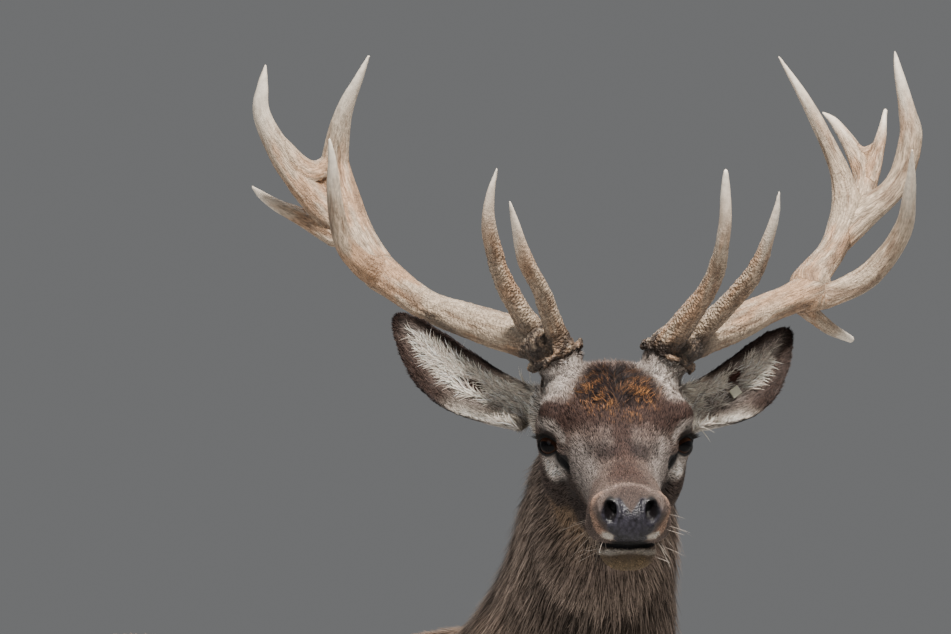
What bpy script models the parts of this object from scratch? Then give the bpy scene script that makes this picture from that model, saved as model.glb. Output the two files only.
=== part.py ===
"""A red deer stag, standing and looking to its right, at life size.

The stag faces -Y, its left side is +X and the floor is z = 0. Section tables are in millimetres.
"""

import math

import bmesh
import bpy
import numpy as np
from mathutils import Matrix, Vector

MM = 0.001
GAP = 0.0004  # clear space kept between neighbouring solids

# Driving dimensions, in metres and radians.
EYES_MIDDLE = Vector((-0.170, -0.850, 1.478))  # the point midway between the eyes
HEAD_TURN = math.radians(31)  # towards the stag's right
HEAD_PITCH = math.radians(18)  # nose below the eyes
EYE_SPACING = 0.132  # between the eyeballs' centres
EYE_SETBACK = 0.004  # of the eyeballs' centres behind the point midway between the eyes
EYE_RADIUS = 0.0185
SOLE_HEIGHT = 0.056  # of the hooves' upper edge
EAR_LENGTH = 0.192
EAR_THICKNESS = 0.0075
TAIL_ROOT = Vector((0, 0.688, 1.125))

# How far each foot stands ahead of (-) or behind (+) its square place.
STRIDES = {"fore_left": -0.045, "fore_right": 0.035, "hind_left": 0.060, "hind_right": -0.050}
SIDES = {"left": 1, "right": -1}

TRIANGLES = {"body": 2150, "head": 1400, "ear": 170, "antler": 610}

COLOURS = {
    "coat": ((0.23, 0.15, 0.10), 0.85),
    "antler": ((0.55, 0.42, 0.30), 0.55),
    "eye": ((0.02, 0.012, 0.008), 0.08),
    "hoof": ((0.045, 0.038, 0.032), 0.45),
    "tag": ((0.78, 0.74, 0.58), 0.40),
}


def head_frame():
    """The matrix from the head's own axes (left, forward to the nose, up) to the world's."""
    level = Vector((-math.sin(HEAD_TURN), -math.cos(HEAD_TURN), 0))
    forward = level * math.cos(HEAD_PITCH) - Vector((0, 0, math.sin(HEAD_PITCH)))
    up = level * math.sin(HEAD_PITCH) + Vector((0, 0, math.cos(HEAD_PITCH)))
    left = up.cross(forward)
    turned = Matrix((left, forward, up)).transposed().to_4x4()
    return Matrix.Translation(EYES_MIDDLE) @ turned


HEAD = head_frame()


# ---- Making and cutting meshes ----


def clear_scene():
    for obj in list(bpy.data.objects):
        bpy.data.objects.remove(obj)


def collection_named(name):
    made = bpy.data.collections.new(name)
    bpy.context.scene.collection.children.link(made)
    return made


def material_named(name):
    colour, roughness = COLOURS[name]
    made = bpy.data.materials.new(name)
    made.use_nodes = True
    shader = made.node_tree.nodes["Principled BSDF"]
    shader.inputs["Base Color"].default_value = (*colour, 1)
    shader.inputs["Roughness"].default_value = roughness
    shader.inputs["Metallic"].default_value = 0
    return made


def object_from(name, bm, collection, material=None):
    """A new object that holds this bmesh, which is freed."""
    bmesh.ops.recalc_face_normals(bm, faces=bm.faces)
    mesh = bpy.data.meshes.new(name)
    bm.to_mesh(mesh)
    bm.free()
    obj = bpy.data.objects.new(name, mesh)
    collection.objects.link(obj)
    if material:
        mesh.materials.append(material)
    return obj


def apply_modifiers(obj):
    graph = bpy.context.evaluated_depsgraph_get()
    mesh = bpy.data.meshes.new_from_object(obj.evaluated_get(graph))
    obj.modifiers.clear()
    obj.data = mesh


def flowing(rows, steps):
    """The rows with a smooth curve (Catmull-Rom) through them, in so many steps a row."""
    rows = np.array(rows, float)
    ends = np.vstack([2 * rows[0] - rows[1], rows, 2 * rows[-1] - rows[-2]])
    found = []
    for a, b, c, d in zip(ends, ends[1:], ends[2:], ends[3:]):
        for t in np.arange(steps) / steps:
            bend = (c - a) * t + (2 * a - 5 * b + 4 * c - d) * t**2 + (3 * b - a - 3 * c + d) * t**3
            found.append(b + bend / 2)
    return np.array([*found, rows[-1]])


def section(width, rise, drop, squareness, sides):
    """Points round a rounded section that is wide at height 0: (across, up), in metres."""
    turn = 2 * math.pi * np.arange(sides) / sides
    c, s = np.cos(turn), np.sin(turn)
    across = width * np.sign(c) * np.abs(c) ** (2 / squareness)
    up = np.where(s > 0, rise, drop) * np.sign(s) * np.abs(s) ** (2 / squareness)
    return np.stack([across, up], 1)


def add_loft(bm, rows, across=(1, 0, 0), sides=20, steps=3, squareness=2.2, frame=None):
    """A closed tube through rows of (x, y, z, half width, rise, drop) in millimetres.

    Rise is towards across x direction of travel: the back on a trunk, the rear on a leg.
    """
    rows = flowing(rows, steps) * MM
    travel = np.gradient(rows[:, :3], axis=0)
    rings = []
    for row, heading in zip(rows, travel):
        forward = Vector(heading).normalized()
        side = (Vector(across) - forward * forward.dot(Vector(across))).normalized()
        up = side.cross(forward)
        ring = []
        for a, u in section(*row[3:6], squareness, sides):
            ring.append(bm.verts.new(Vector(row[:3]) + side * a + up * u))
        rings.append(ring)
    for near, far in zip(rings, rings[1:]):
        for i in range(sides):
            j = (i + 1) % sides
            bm.faces.new((near[i], near[j], far[j], far[i]))
    bm.faces.new(rings[0])
    bm.faces.new(rings[-1])
    if frame:
        bmesh.ops.transform(bm, matrix=frame, verts=[v for ring in rings for v in ring])


def add_mass(bm, centre, radii, tilt=(0, 0, 0), frame=None, detail=3):
    """An ellipsoid of flesh or bone. Sizes are in millimetres and tilt is in degrees."""
    turned = Matrix.Rotation(math.radians(tilt[2]), 4, "Z")
    turned = turned @ Matrix.Rotation(math.radians(tilt[1]), 4, "Y")
    turned = turned @ Matrix.Rotation(math.radians(tilt[0]), 4, "X")
    place = Matrix.Translation(Vector(centre) * MM) @ turned @ Matrix.Diagonal((*(Vector(radii) * MM), 1))
    bmesh.ops.create_icosphere(bm, subdivisions=detail, radius=1, matrix=(frame or Matrix()) @ place)


def sculpt(obj, voxel, smoothing, triangles):
    """Fuses the overlapping shapes in obj into one smooth surface of so many triangles."""
    remesh = obj.modifiers.new("fuse", "REMESH")
    remesh.mode = "VOXEL"
    remesh.voxel_size = voxel
    smooth = obj.modifiers.new("smooth", "SMOOTH")
    smooth.factor = 0.5
    smooth.iterations = smoothing
    apply_modifiers(obj)
    thin_out(obj, triangles)


def thin_out(obj, triangles):
    count = sum(len(face.vertices) - 2 for face in obj.data.polygons)
    decimate = obj.modifiers.new("thin_out", "DECIMATE")
    decimate.ratio = min(1, triangles / count)
    apply_modifiers(obj)


def keep_side(obj, point, normal):
    """Cuts obj with a plane, keeps the side that the normal points away from and caps it."""
    bm = bmesh.new()
    bm.from_mesh(obj.data)
    everything = [*bm.verts, *bm.edges, *bm.faces]
    cut = bmesh.ops.bisect_plane(bm, geom=everything, plane_co=point, plane_no=normal, clear_outer=True)
    rim = [e for e in cut["geom_cut"] if isinstance(e, bmesh.types.BMEdge)]
    bmesh.ops.contextual_create(bm, geom=rim)
    bmesh.ops.recalc_face_normals(bm, faces=bm.faces)
    bm.to_mesh(obj.data)
    bm.free()


def sheet(name, corners, cutters):
    """A thin closed sheet between four corners, that parts whatever it crosses."""
    bm = bmesh.new()
    normal = (corners[1] - corners[0]).cross(corners[2] - corners[0]).normalized()
    rings = []
    for lift in (-GAP / 2, GAP / 2):
        rings.append([bm.verts.new(corner + normal * lift) for corner in corners])
    for ring in rings:
        bm.faces.new(ring)
    for i in range(4):
        j = (i + 1) % 4
        bm.faces.new((rings[0][i], rings[0][j], rings[1][j], rings[1][i]))
    return as_cutter(object_from(name, bm, cutters))


def square_sheet(name, middle, normal, size, cutters):
    turned = Vector(normal).to_track_quat("Z", "Y").to_matrix()
    corners = []
    for x, y in ((-1, -1), (1, -1), (1, 1), (-1, 1)):
        corners.append(Vector(middle) + turned @ Vector((x, y, 0)) * size / 2)
    return sheet(name, corners, cutters)


def as_cutter(obj):
    obj.hide_render = True
    obj.display_type = "WIRE"
    return obj


def cut_with(obj, cutter, operation="DIFFERENCE"):
    boolean = obj.modifiers.new("cut", "BOOLEAN")
    boolean.operation = operation
    boolean.object = cutter
    boolean.use_self = True
    apply_modifiers(obj)


def add_to(obj, other):
    cut_with(obj, other, "UNION")


def grown_copy(obj, by, cutters):
    """A hidden copy of obj that is larger all round, to cut a neighbour clear of it."""
    copy = bpy.data.objects.new(obj.name + "_grown", obj.data.copy())
    cutters.objects.link(copy)
    swell = copy.modifiers.new("swell", "DISPLACE")
    swell.strength = by
    swell.mid_level = 0
    apply_modifiers(copy)
    return as_cutter(copy)


def largest_piece_only(obj):
    """Drops the crumbs that a cut leaves."""
    bm = bmesh.new()
    bm.from_mesh(obj.data)
    unseen, islands = set(bm.verts), []
    while unseen:
        island, front = set(), [unseen.pop()]
        while front:
            vert = front.pop()
            island.add(vert)
            near = {edge.other_vert(vert) for edge in vert.link_edges} & unseen
            unseen -= near
            front += near
        islands.append(island)
    keep = max(islands, key=len)
    bmesh.ops.delete(bm, geom=[v for v in bm.verts if v not in keep], context="VERTS")
    bm.to_mesh(obj.data)
    bm.free()


def split_pieces(obj, labels, collection):
    """Parts obj's loose pieces into objects, naming the piece whose surface each label is nearest."""
    bpy.ops.object.select_all(action="DESELECT")
    bpy.context.view_layer.objects.active = obj
    obj.select_set(True)
    bpy.ops.mesh.separate(type="LOOSE")
    pieces = list(bpy.context.selected_objects)
    corners = [np.array([v.co for v in piece.data.vertices]) for piece in pieces]
    found = {}
    for name, point in labels.items():
        reach = [np.linalg.norm(points - point, axis=1).min() for points in corners]
        found[name] = pieces[reach.index(min(reach))]
    for piece in pieces:
        if piece not in found.values():
            bpy.data.objects.remove(piece)
    for name, piece in found.items():
        piece.name = name
        piece.data.name = name
        for holder in list(piece.users_collection):
            holder.objects.unlink(piece)
        collection.objects.link(piece)
    return found


# ---- The body: trunk, neck and legs ----

# (y, back's height, belly's height, half width)
TRUNK = [
    (-600, 1060, 890, 75),
    (-565, 1125, 830, 128),
    (-505, 1185, 757, 165),
    (-420, 1224, 706, 184),
    (-320, 1238, 678, 194),
    (-160, 1210, 666, 212),
    (20, 1190, 672, 222),
    (190, 1192, 702, 214),
    (330, 1208, 756, 194),
    (450, 1214, 812, 176),
    (550, 1190, 870, 140),
    (615, 1145, 930, 98),
    (645, 1090, 985, 55),
]
WIDEST = 0.47  # the trunk's widest level, as a share of the way from belly to back

# From the throat to the shoulders: (x, y, z, half width, rise, drop)
NECK = [
    (-120, -790, 1502, 62, 54, 72),
    (-108, -748, 1444, 74, 80, 88),
    (-88, -700, 1370, 81, 102, 110),
    (-58, -636, 1284, 92, 120, 138),
    (-30, -556, 1194, 112, 144, 170),
    (-8, -465, 1112, 132, 172, 204),
    (0, -370, 1040, 142, 186, 228),
]

# (z, y, x, half width, rear, front)
FORE_LEG = [
    (930, -400, 138, 56, 120, 130),
    (850, -385, 146, 58, 100, 112),
    (775, -375, 145, 53, 78, 86),
    (700, -385, 139, 45, 58, 62),
    (620, -396, 133, 38, 45, 46),
    (540, -402, 129, 33, 36, 37),
    (470, -404, 126, 32, 36, 38),
    (425, -404, 125, 33, 37, 39),
    (380, -402, 124, 28, 32, 32),
    (325, -400, 123, 22, 27, 24),
    (240, -399, 122, 20.5, 25, 22),
    (190, -398, 122, 25, 33, 26),
    (155, -402, 122, 26, 32, 27),
    (115, -420, 122, 23, 24, 25),
    (85, -434, 122, 27, 28, 30),
    (SOLE_HEIGHT * 1000 - 12, -448, 122, 30, 31, 31),
]
HIND_LEG = [
    (1080, 440, 96, 66, 120, 150),
    (980, 440, 124, 76, 156, 168),
    (890, 430, 142, 75, 160, 156),
    (805, 428, 149, 63, 140, 130),
    (730, 456, 147, 49, 98, 96),
    (660, 502, 143, 39, 68, 62),
    (600, 546, 139, 32, 54, 43),
    (552, 572, 137, 30, 54, 40),
    (500, 580, 135, 31, 42, 42),
    (430, 578, 133, 25.5, 31, 32),
    (360, 573, 132, 21.5, 27, 25),
    (255, 567, 131, 20.5, 25, 23),
    (198, 564, 131, 25, 32, 26),
    (160, 558, 131, 25.5, 30, 27),
    (118, 540, 131, 22.5, 24, 25),
    (87, 526, 131, 26, 28, 29),
    (SOLE_HEIGHT * 1000 - 12, 512, 131, 30, 31, 31),
]
TAIL = [
    (0, 595, 1150, 30, 24, 30),
    (0, 642, 1122, 32, 22, 26),
    (0, 666, 1075, 30, 16, 18),
    (0, 670, 1020, 25, 12, 14),
    (0, 666, 975, 16, 9, 10),
    (0, 660, 948, 6, 5, 5),
]

# Muscle and bone on each side of the body: (centre), (radii), (tilt)
BODY_MASSES = [
    ((112, -410, 1010), (72, 122, 190), (18, -9, 0)),  # shoulder blade
    ((128, -450, 880), (62, 92, 95), (0, 0, 0)),  # upper arm
    ((126, -345, 830), (58, 78, 75), (0, 0, 0)),  # triceps
    ((96, 400, 1072), (84, 150, 84), (-10, 0, 0)),  # croup
    ((110, 480, 940), (86, 132, 150), (10, 0, 0)),  # haunch
    ((146, 355, 836), (58, 96, 108), (-25, 0, 0)),  # thigh to stifle
    ((92, 570, 955), (64, 66, 118), (0, 0, 0)),  # buttock
    ((112, 40, 900), (110, 320, 200), (0, 0, 0)),  # ribs
]
RIDGES = [
    ((0, -320, 1190), (62, 150, 58), (0, 0, 0)),  # withers
    ((0, -522, 935), (108, 80, 118), (0, 0, 0)),  # breast
    ((0, -245, 772), (110, 220, 108), (0, 0, 0)),  # brisket
    ((0, 590, 1095), (62, 62, 72), (0, 0, 0)),  # tail head
]

# The slit that parts each leg from the body: (x from, to), (y from, to), height at the middle, slopes
LEG_CUTS = {
    "fore": ((75, 250), (-545, -255), 714, (0.30, 0)),
    "hind": ((12, 262), (190, 700), 805, (0.60, 0.60)),
}
NECK_CUT = ((0, -0.515, 1.085), (0, -0.84, 0.54), 0.72)  # middle, normal, size


def stepped(rows, stride, side, reach):
    """A leg's rows moved to one side of the body, with the foot moved by its stride."""
    moved = []
    for z, y, x, width, rear, front in rows:
        share = min(1, max(0, (reach - z) / reach))
        moved.append((side * x, y + 1000 * stride * share, z, width, rear, front))
    return moved


def make_body(parts, cutters, coat):
    bm = bmesh.new()
    rows = []
    for y, top, bottom, width in TRUNK:
        level = bottom + (top - bottom) * WIDEST
        rows.append((0, y, level, width, top - level, level - bottom))
    add_loft(bm, rows, squareness=2.15)
    add_loft(bm, NECK, across=HEAD.to_3x3().col[0].lerp(Vector((1, 0, 0)), 0.5))
    for side_name, side in SIDES.items():
        for rows, leg, reach in ((FORE_LEG, "fore_", 800), (HIND_LEG, "hind_", 850)):
            foot = STRIDES[leg + side_name]
            add_loft(bm, stepped(rows, foot, side, reach), sides=16, squareness=2)
        for centre, radii, (about_x, about_y, _) in BODY_MASSES:
            tilt = (about_x, about_y * side, 0)
            add_mass(bm, (centre[0] * side, *centre[1:]), radii, tilt)
    for centre, radii, tilt in RIDGES:
        add_mass(bm, centre, radii, tilt)
    body = object_from("body", bm, parts, coat)
    sculpt(body, 0.0065, 30, TRIANGLES["body"])

    point, normal = throat_plane()
    keep_side(body, point + normal * GAP / 2, -normal)
    cut_with(body, square_sheet("cut_neck", *NECK_CUT, cutters))
    for end, (x_range, y_range, height, slopes) in LEG_CUTS.items():
        middle = [sum(x_range) / 2, sum(y_range) / 2]
        for side_name, side in SIDES.items():
            corners = []
            for x, y in ((0, 0), (1, 0), (1, 1), (0, 1)):
                x, y = x_range[x], y_range[y]
                z = height + (x - middle[0]) * slopes[0] + (y - middle[1]) * slopes[1]
                corners.append(Vector((x * side, y, z)) * MM)
            cut_with(body, sheet(f"cut_{end}_{side_name}", corners, cutters))
    labels = {
        "trunk": (0, 0, 0.95),
        "neck": (-0.05, -0.62, 1.27),
        "leg_fore_left": (0.13, -0.40, 0.35),
        "leg_fore_right": (-0.13, -0.40, 0.35),
        "leg_hind_left": (0.13, 0.55, 0.45),
        "leg_hind_right": (-0.13, 0.50, 0.45),
    }
    return split_pieces(body, labels, parts)


def make_tail(parts, cutters, coat, trunk):
    bm = bmesh.new()
    add_loft(bm, TAIL, sides=8, steps=1)
    tail = object_from("tail", bm, parts, coat)
    cut_with(tail, grown_copy(trunk, GAP, cutters))
    largest_piece_only(tail)


# ---- Hooves ----


def make_hooves(parts, cutters, material, leg, end, side_name):
    """Two cloven claws and two dewclaws under one leg."""
    z, y, x, *_ = (FORE_LEG if end == "fore" else HIND_LEG)[-1]
    place = Vector((SIDES[side_name] * x, y, 0)) * MM
    place.y += STRIDES[f"{end}_{side_name}"]
    grown = grown_copy(leg, GAP, cutters)
    for claw, way in (("inner", -SIDES[side_name]), ("outer", SIDES[side_name])):
        # (y from the leg's middle, half width, height) from the heel to the toe
        rows = [(36, 10, 30), (27, 14, 46), (8, 15, 64), (-16, 14.5, 66), (-38, 12, 42), (-53, 7, 15)]
        bm = bmesh.new()
        upright = [(way * 15.8, back, 0, width, height, 12) for back, width, height in rows]
        add_loft(bm, upright[::-1], sides=8, steps=1, squareness=2.6)
        bmesh.ops.translate(bm, vec=place, verts=bm.verts)
        hoof = object_from(f"hoof_{end}_{side_name}_{claw}", bm, parts, material)
        keep_side(hoof, (0, 0, 0), (0, 0, -1))
        cut_with(hoof, grown)
        largest_piece_only(hoof)
        bm = bmesh.new()
        high = Matrix.Translation(place + Vector((way * 0.014, 0.052, 0.098)))
        shape = Matrix.Rotation(math.radians(28), 4, "X") @ Matrix.Diagonal((0.011, 0.013, 0.021, 1))
        bmesh.ops.create_icosphere(bm, subdivisions=1, radius=1, matrix=high @ shape)
        dewclaw = object_from(f"dewclaw_{end}_{side_name}_{claw}", bm, parts, material)
        cut_with(dewclaw, grown)
        largest_piece_only(dewclaw)


# ---- The head ----

# Along the head, from the nose: (forward, level, half width, rise, drop, squareness)
SNOUT = [
    (254, -2, 18, 9, 11),
    (249, -3, 29, 19, 19),
    (238, -4, 39, 27, 26),
    (222, -6, 45, 33, 32),
    (202, -8, 46, 35, 36),
    (172, -12, 42, 41, 38),
    (132, -14, 41, 46, 40),
    (92, -10, 46, 50, 48),
    (55, -4, 55, 53, 58),
    (28, 4, 66, 54, 68),
    (5, 8, 79, 55, 76),
    (-18, 9, 84, 56, 80),
    (-48, 9, 80, 58, 78),
    (-85, 6, 68, 58, 72),
    (-125, 2, 57, 43, 62),
    (-158, -2, 38, 26, 44),
]
JAW = [
    (243, -43, 14, 8, 9),
    (232, -45, 24, 14, 18),
    (212, -46, 29, 16, 23),
    (185, -46, 29, 18, 23),
    (140, -48, 31, 20, 27),
    (90, -52, 37, 24, 34),
    (40, -58, 45, 28, 42),
    (-10, -62, 54, 32, 50),
    (-50, -64, 58, 34, 56),
    (-90, -58, 52, 34, 54),
]
HEAD_MASSES = [
    ((54, -18, 28), (29, 44, 24), (0, -18, 18)),  # brow
    ((66, -4, 0), (21.5, 21.5, 21.5), (0, 0, 0)),  # eyelids
    ((50, -34, -42), (30, 60, 54), (0, 0, 0)),  # cheek
    ((27, 228, 8), (19, 22, 19), (0, 0, 0)),  # nostril wing
    ((25, 210, -18), (23, 32, 18), (0, 0, 0)),  # upper lip
    ((58, -94, 4), (30, 28, 34), (0, 0, 0)),  # ear root
    ((48, -70, 34), (30, 34, 32), (0, 25, 0)),  # pedicle root
]
HEAD_RIDGES = [
    ((0, -66, 38), (56, 56, 32), (0, 0, 0)),  # crown
    ((0, -126, -10), (48, 44, 36), (0, 0, 0)),  # nape
]
PEDICLE = [(42, -66, 38), (61, -76, 75)]  # from the skull to the burr's underside
PEDICLE_RADIUS = 29
NOSTRIL = ((24.5, 244, 13), (7, 12, 11.5), (0, 30, 0))
EYELIDS = (17, 14, 10.5)  # the opening's half length, depth and half height, in millimetres
EYE_FACES = (0.67, 0.74, 0.04)  # the way each eye looks, in the head's axes
THROAT_POINT = (0, -130, -45)
THROAT_NORMAL = (0, -0.83, -0.56)


def throat_plane():
    """Where the head meets the neck: a point, and a direction towards the neck."""
    point = HEAD @ (Vector(THROAT_POINT) * MM)
    return point, (HEAD.to_3x3() @ Vector(THROAT_NORMAL)).normalized()


def along_head(rows):
    """Rows that give (forward, level, ...) from the nose, as loft rows from the nape."""
    return [(0, forward, level, *sizes) for forward, level, *sizes in rows[::-1]]


def make_head(parts, cutters, coat):
    bm = bmesh.new()
    add_loft(bm, along_head(SNOUT), sides=24, squareness=2.3, frame=HEAD)
    add_loft(bm, along_head(JAW), sides=18, frame=HEAD)
    add_loft(bm, NECK[:3], across=HEAD.to_3x3().col[0])
    for side in SIDES.values():
        for centre, radii, (about_x, about_y, about_z) in HEAD_MASSES:
            tilt = (about_x, about_y * side, -about_z * side)
            add_mass(bm, (centre[0] * side, *centre[1:]), radii, tilt, HEAD)
        low, high = (Vector((x * side, y, z)) for x, y, z in PEDICLE)
        root, top = (*low, *[PEDICLE_RADIUS - 2] * 3), (*high, *[PEDICLE_RADIUS] * 3)
        add_loft(bm, [root, (*low.lerp(high, 0.5), *[PEDICLE_RADIUS - 3] * 3), top], frame=HEAD)
    for centre, radii, tilt in HEAD_RIDGES:
        add_mass(bm, centre, radii, tilt, HEAD)
    head = object_from("head", bm, parts, coat)
    sculpt(head, 0.0035, 18, TRIANGLES["head"])
    point, normal = throat_plane()
    keep_side(head, point - normal * GAP / 2, normal)
    for side in SIDES.values():
        bm = bmesh.new()
        centre, radii, (_, about_y, _) = NOSTRIL
        add_mass(bm, (centre[0] * side, *centre[1:]), radii, (0, about_y * side, 0), HEAD, 2)
        cut_with(head, as_cutter(object_from("nostril_cutter", bm, cutters)))
    return head


def make_eyes(parts, cutters, material, head):
    for side_name, side in SIDES.items():
        centre = HEAD @ Vector((side * EYE_SPACING / 2, -EYE_SETBACK, 0))
        for name, radius in ((f"eye_{side_name}", EYE_RADIUS), (f"socket_{side_name}", EYE_RADIUS + GAP)):
            bm = bmesh.new()
            bmesh.ops.create_uvsphere(bm, u_segments=12, v_segments=8, radius=radius)
            bmesh.ops.transform(bm, matrix=Matrix.Translation(centre), verts=bm.verts)
            ball = object_from(name, bm, parts, material)
            if name.startswith("socket"):
                parts.objects.unlink(ball)
                cutters.objects.link(as_cutter(ball))
                cut_with(head, ball)
        facing = HEAD.to_3x3() @ Vector((EYE_FACES[0] * side, *EYE_FACES[1:]))
        turned = facing.to_track_quat("Y", "Z").to_matrix().to_4x4()
        shape = Matrix.Diagonal((*(Vector(EYELIDS) * MM), 1))
        opening = Matrix.Translation(centre + facing.normalized() * EYE_RADIUS) @ turned @ shape
        bm = bmesh.new()
        bmesh.ops.create_icosphere(bm, subdivisions=2, radius=1, matrix=opening)
        lids = as_cutter(object_from(f"lids_{side_name}", bm, cutters))
        cut_with(head, lids)


# ---- Ears ----

EARS = {  # in the head's axes, millimetres: the root, the tip and the way the cup opens
    "right": ((-86, -98, 4), (-236, -190, 85), (-0.15, 0.94, 0.30)),
    "left": ((88, -98, 6), (217, -240, 50), (0.10, 0.94, 0.30)),
}
TAG_PLACE = (0.49, -0.08)  # share of the ear's length, and turn up round its cup
TAG_PLATE = (0.015, 0.0105, 0.0016)
TAG_PIN = 0.0018
TAG_BUTTON = 0.0065
EAR_SAG = 19  # how far the middle of the ear hangs under the line from root to tip
# (share of the length, half width between its edges, half angle of its cup in degrees)
EAR_LEAF = [
    (0.00, 25, 115),
    (0.10, 27, 110),
    (0.25, 30, 98),
    (0.45, 35, 80),
    (0.65, 34, 64),
    (0.82, 26, 50),
    (0.93, 16, 38),
    (1.00, 4, 25),
]


def ear_line(root, tip, opening, side, share):
    """The arc across the ear at a share of its length: middle, axes, radius and half angle."""
    along = tip - root
    facing = (opening - along * opening.dot(along) / along.length_squared).normalized()
    upward = along.normalized().cross(facing) * side
    width, spread = (np.interp(share, *np.array(EAR_LEAF).T[[0, i]]) for i in (1, 2))
    spread = math.radians(spread)
    radius = width / math.sin(min(spread, math.pi / 2))
    middle = root + along * share - upward * EAR_SAG * math.sin(math.pi * share)
    return middle, upward, facing, along.normalized(), radius, spread


def ear_surface(root, tip, opening, side):
    """The ear's cupped leaf as an open grid, in the head's axes."""
    bm = bmesh.new()
    lines = []
    for share in np.linspace(0, 1, 15):
        middle, upward, facing, _, radius, spread = ear_line(root, tip, opening, side, share)
        line = []
        for turn in np.linspace(-spread, spread, 11):
            depth = radius * (math.cos(turn) - math.cos(spread))
            point = middle + upward * radius * math.sin(turn) - facing * depth
            line.append(bm.verts.new(point * MM))
        lines.append(line)
    for near, far in zip(lines, lines[1:]):
        for i in range(len(near) - 1):
            bm.faces.new((near[i], near[i + 1], far[i + 1], far[i]))
    return bm


def make_ear(parts, cutters, coat, head, side_name):
    root, tip, opening = (Vector(v) for v in EARS[side_name])
    bm = ear_surface(root, tip, opening, SIDES[side_name])
    bmesh.ops.transform(bm, matrix=HEAD, verts=bm.verts)
    ear = object_from(f"ear_{side_name}", bm, parts, coat)
    shell = ear.modifiers.new("thickness", "SOLIDIFY")
    shell.thickness = EAR_THICKNESS
    shell.offset = 0
    fuse = ear.modifiers.new("fuse", "REMESH")
    fuse.mode = "VOXEL"
    fuse.voxel_size = 0.0022
    apply_modifiers(ear)
    thin_out(ear, TRIANGLES["ear"])
    cut_with(ear, grown_copy(head, GAP, cutters))
    largest_piece_only(ear)
    return ear


def make_ear_tag(parts, cutters, material, ear):
    """A small plate inside the left ear, with a pin through to a button on the back."""
    root, tip, opening = (Vector(v) for v in EARS["left"])
    share, turn = TAG_PLACE
    middle, upward, facing, along, radius, spread = ear_line(root, tip, opening, 1, share)
    depth = radius * (math.cos(turn) - math.cos(spread))
    outward = (facing * math.cos(turn) - upward * math.sin(turn)).normalized()
    place = middle + upward * radius * math.sin(turn) - facing * depth
    across = along.cross(outward)
    turned = Matrix((along, across, outward)).transposed().to_4x4()
    frame = HEAD @ Matrix.Translation(place * MM) @ turned
    bm = bmesh.new()
    front, back = EAR_THICKNESS / 2 + 0.0012, EAR_THICKNESS / 2 + 0.0008
    shape = Matrix.Diagonal((*TAG_PLATE, 1))
    bmesh.ops.create_cube(bm, size=1, matrix=frame @ Matrix.Translation((0, 0, front)) @ shape)
    bmesh.ops.bevel(bm, geom=bm.edges[:], offset=0.0004, segments=1, affect="EDGES")
    tag = object_from("ear_tag", bm, parts, material)
    rods = ((TAG_PIN, 8, -back, front), (TAG_BUTTON, 12, -back - 0.0008, -back + 0.0008))
    for radius, sides, low, high in rods:
        bm = bmesh.new()
        at = Matrix.Translation((0, 0, (low + high) / 2))
        sizes = {"radius1": radius, "radius2": radius, "depth": high - low}
        bmesh.ops.create_cone(bm, cap_ends=True, segments=sides, **sizes, matrix=frame @ at)
        rod = as_cutter(object_from("tag_rod", bm, cutters))
        add_to(tag, rod)
    cut_with(ear, grown_copy(tag, GAP, cutters))
    largest_piece_only(ear)


# ---- Antlers ----

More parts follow.
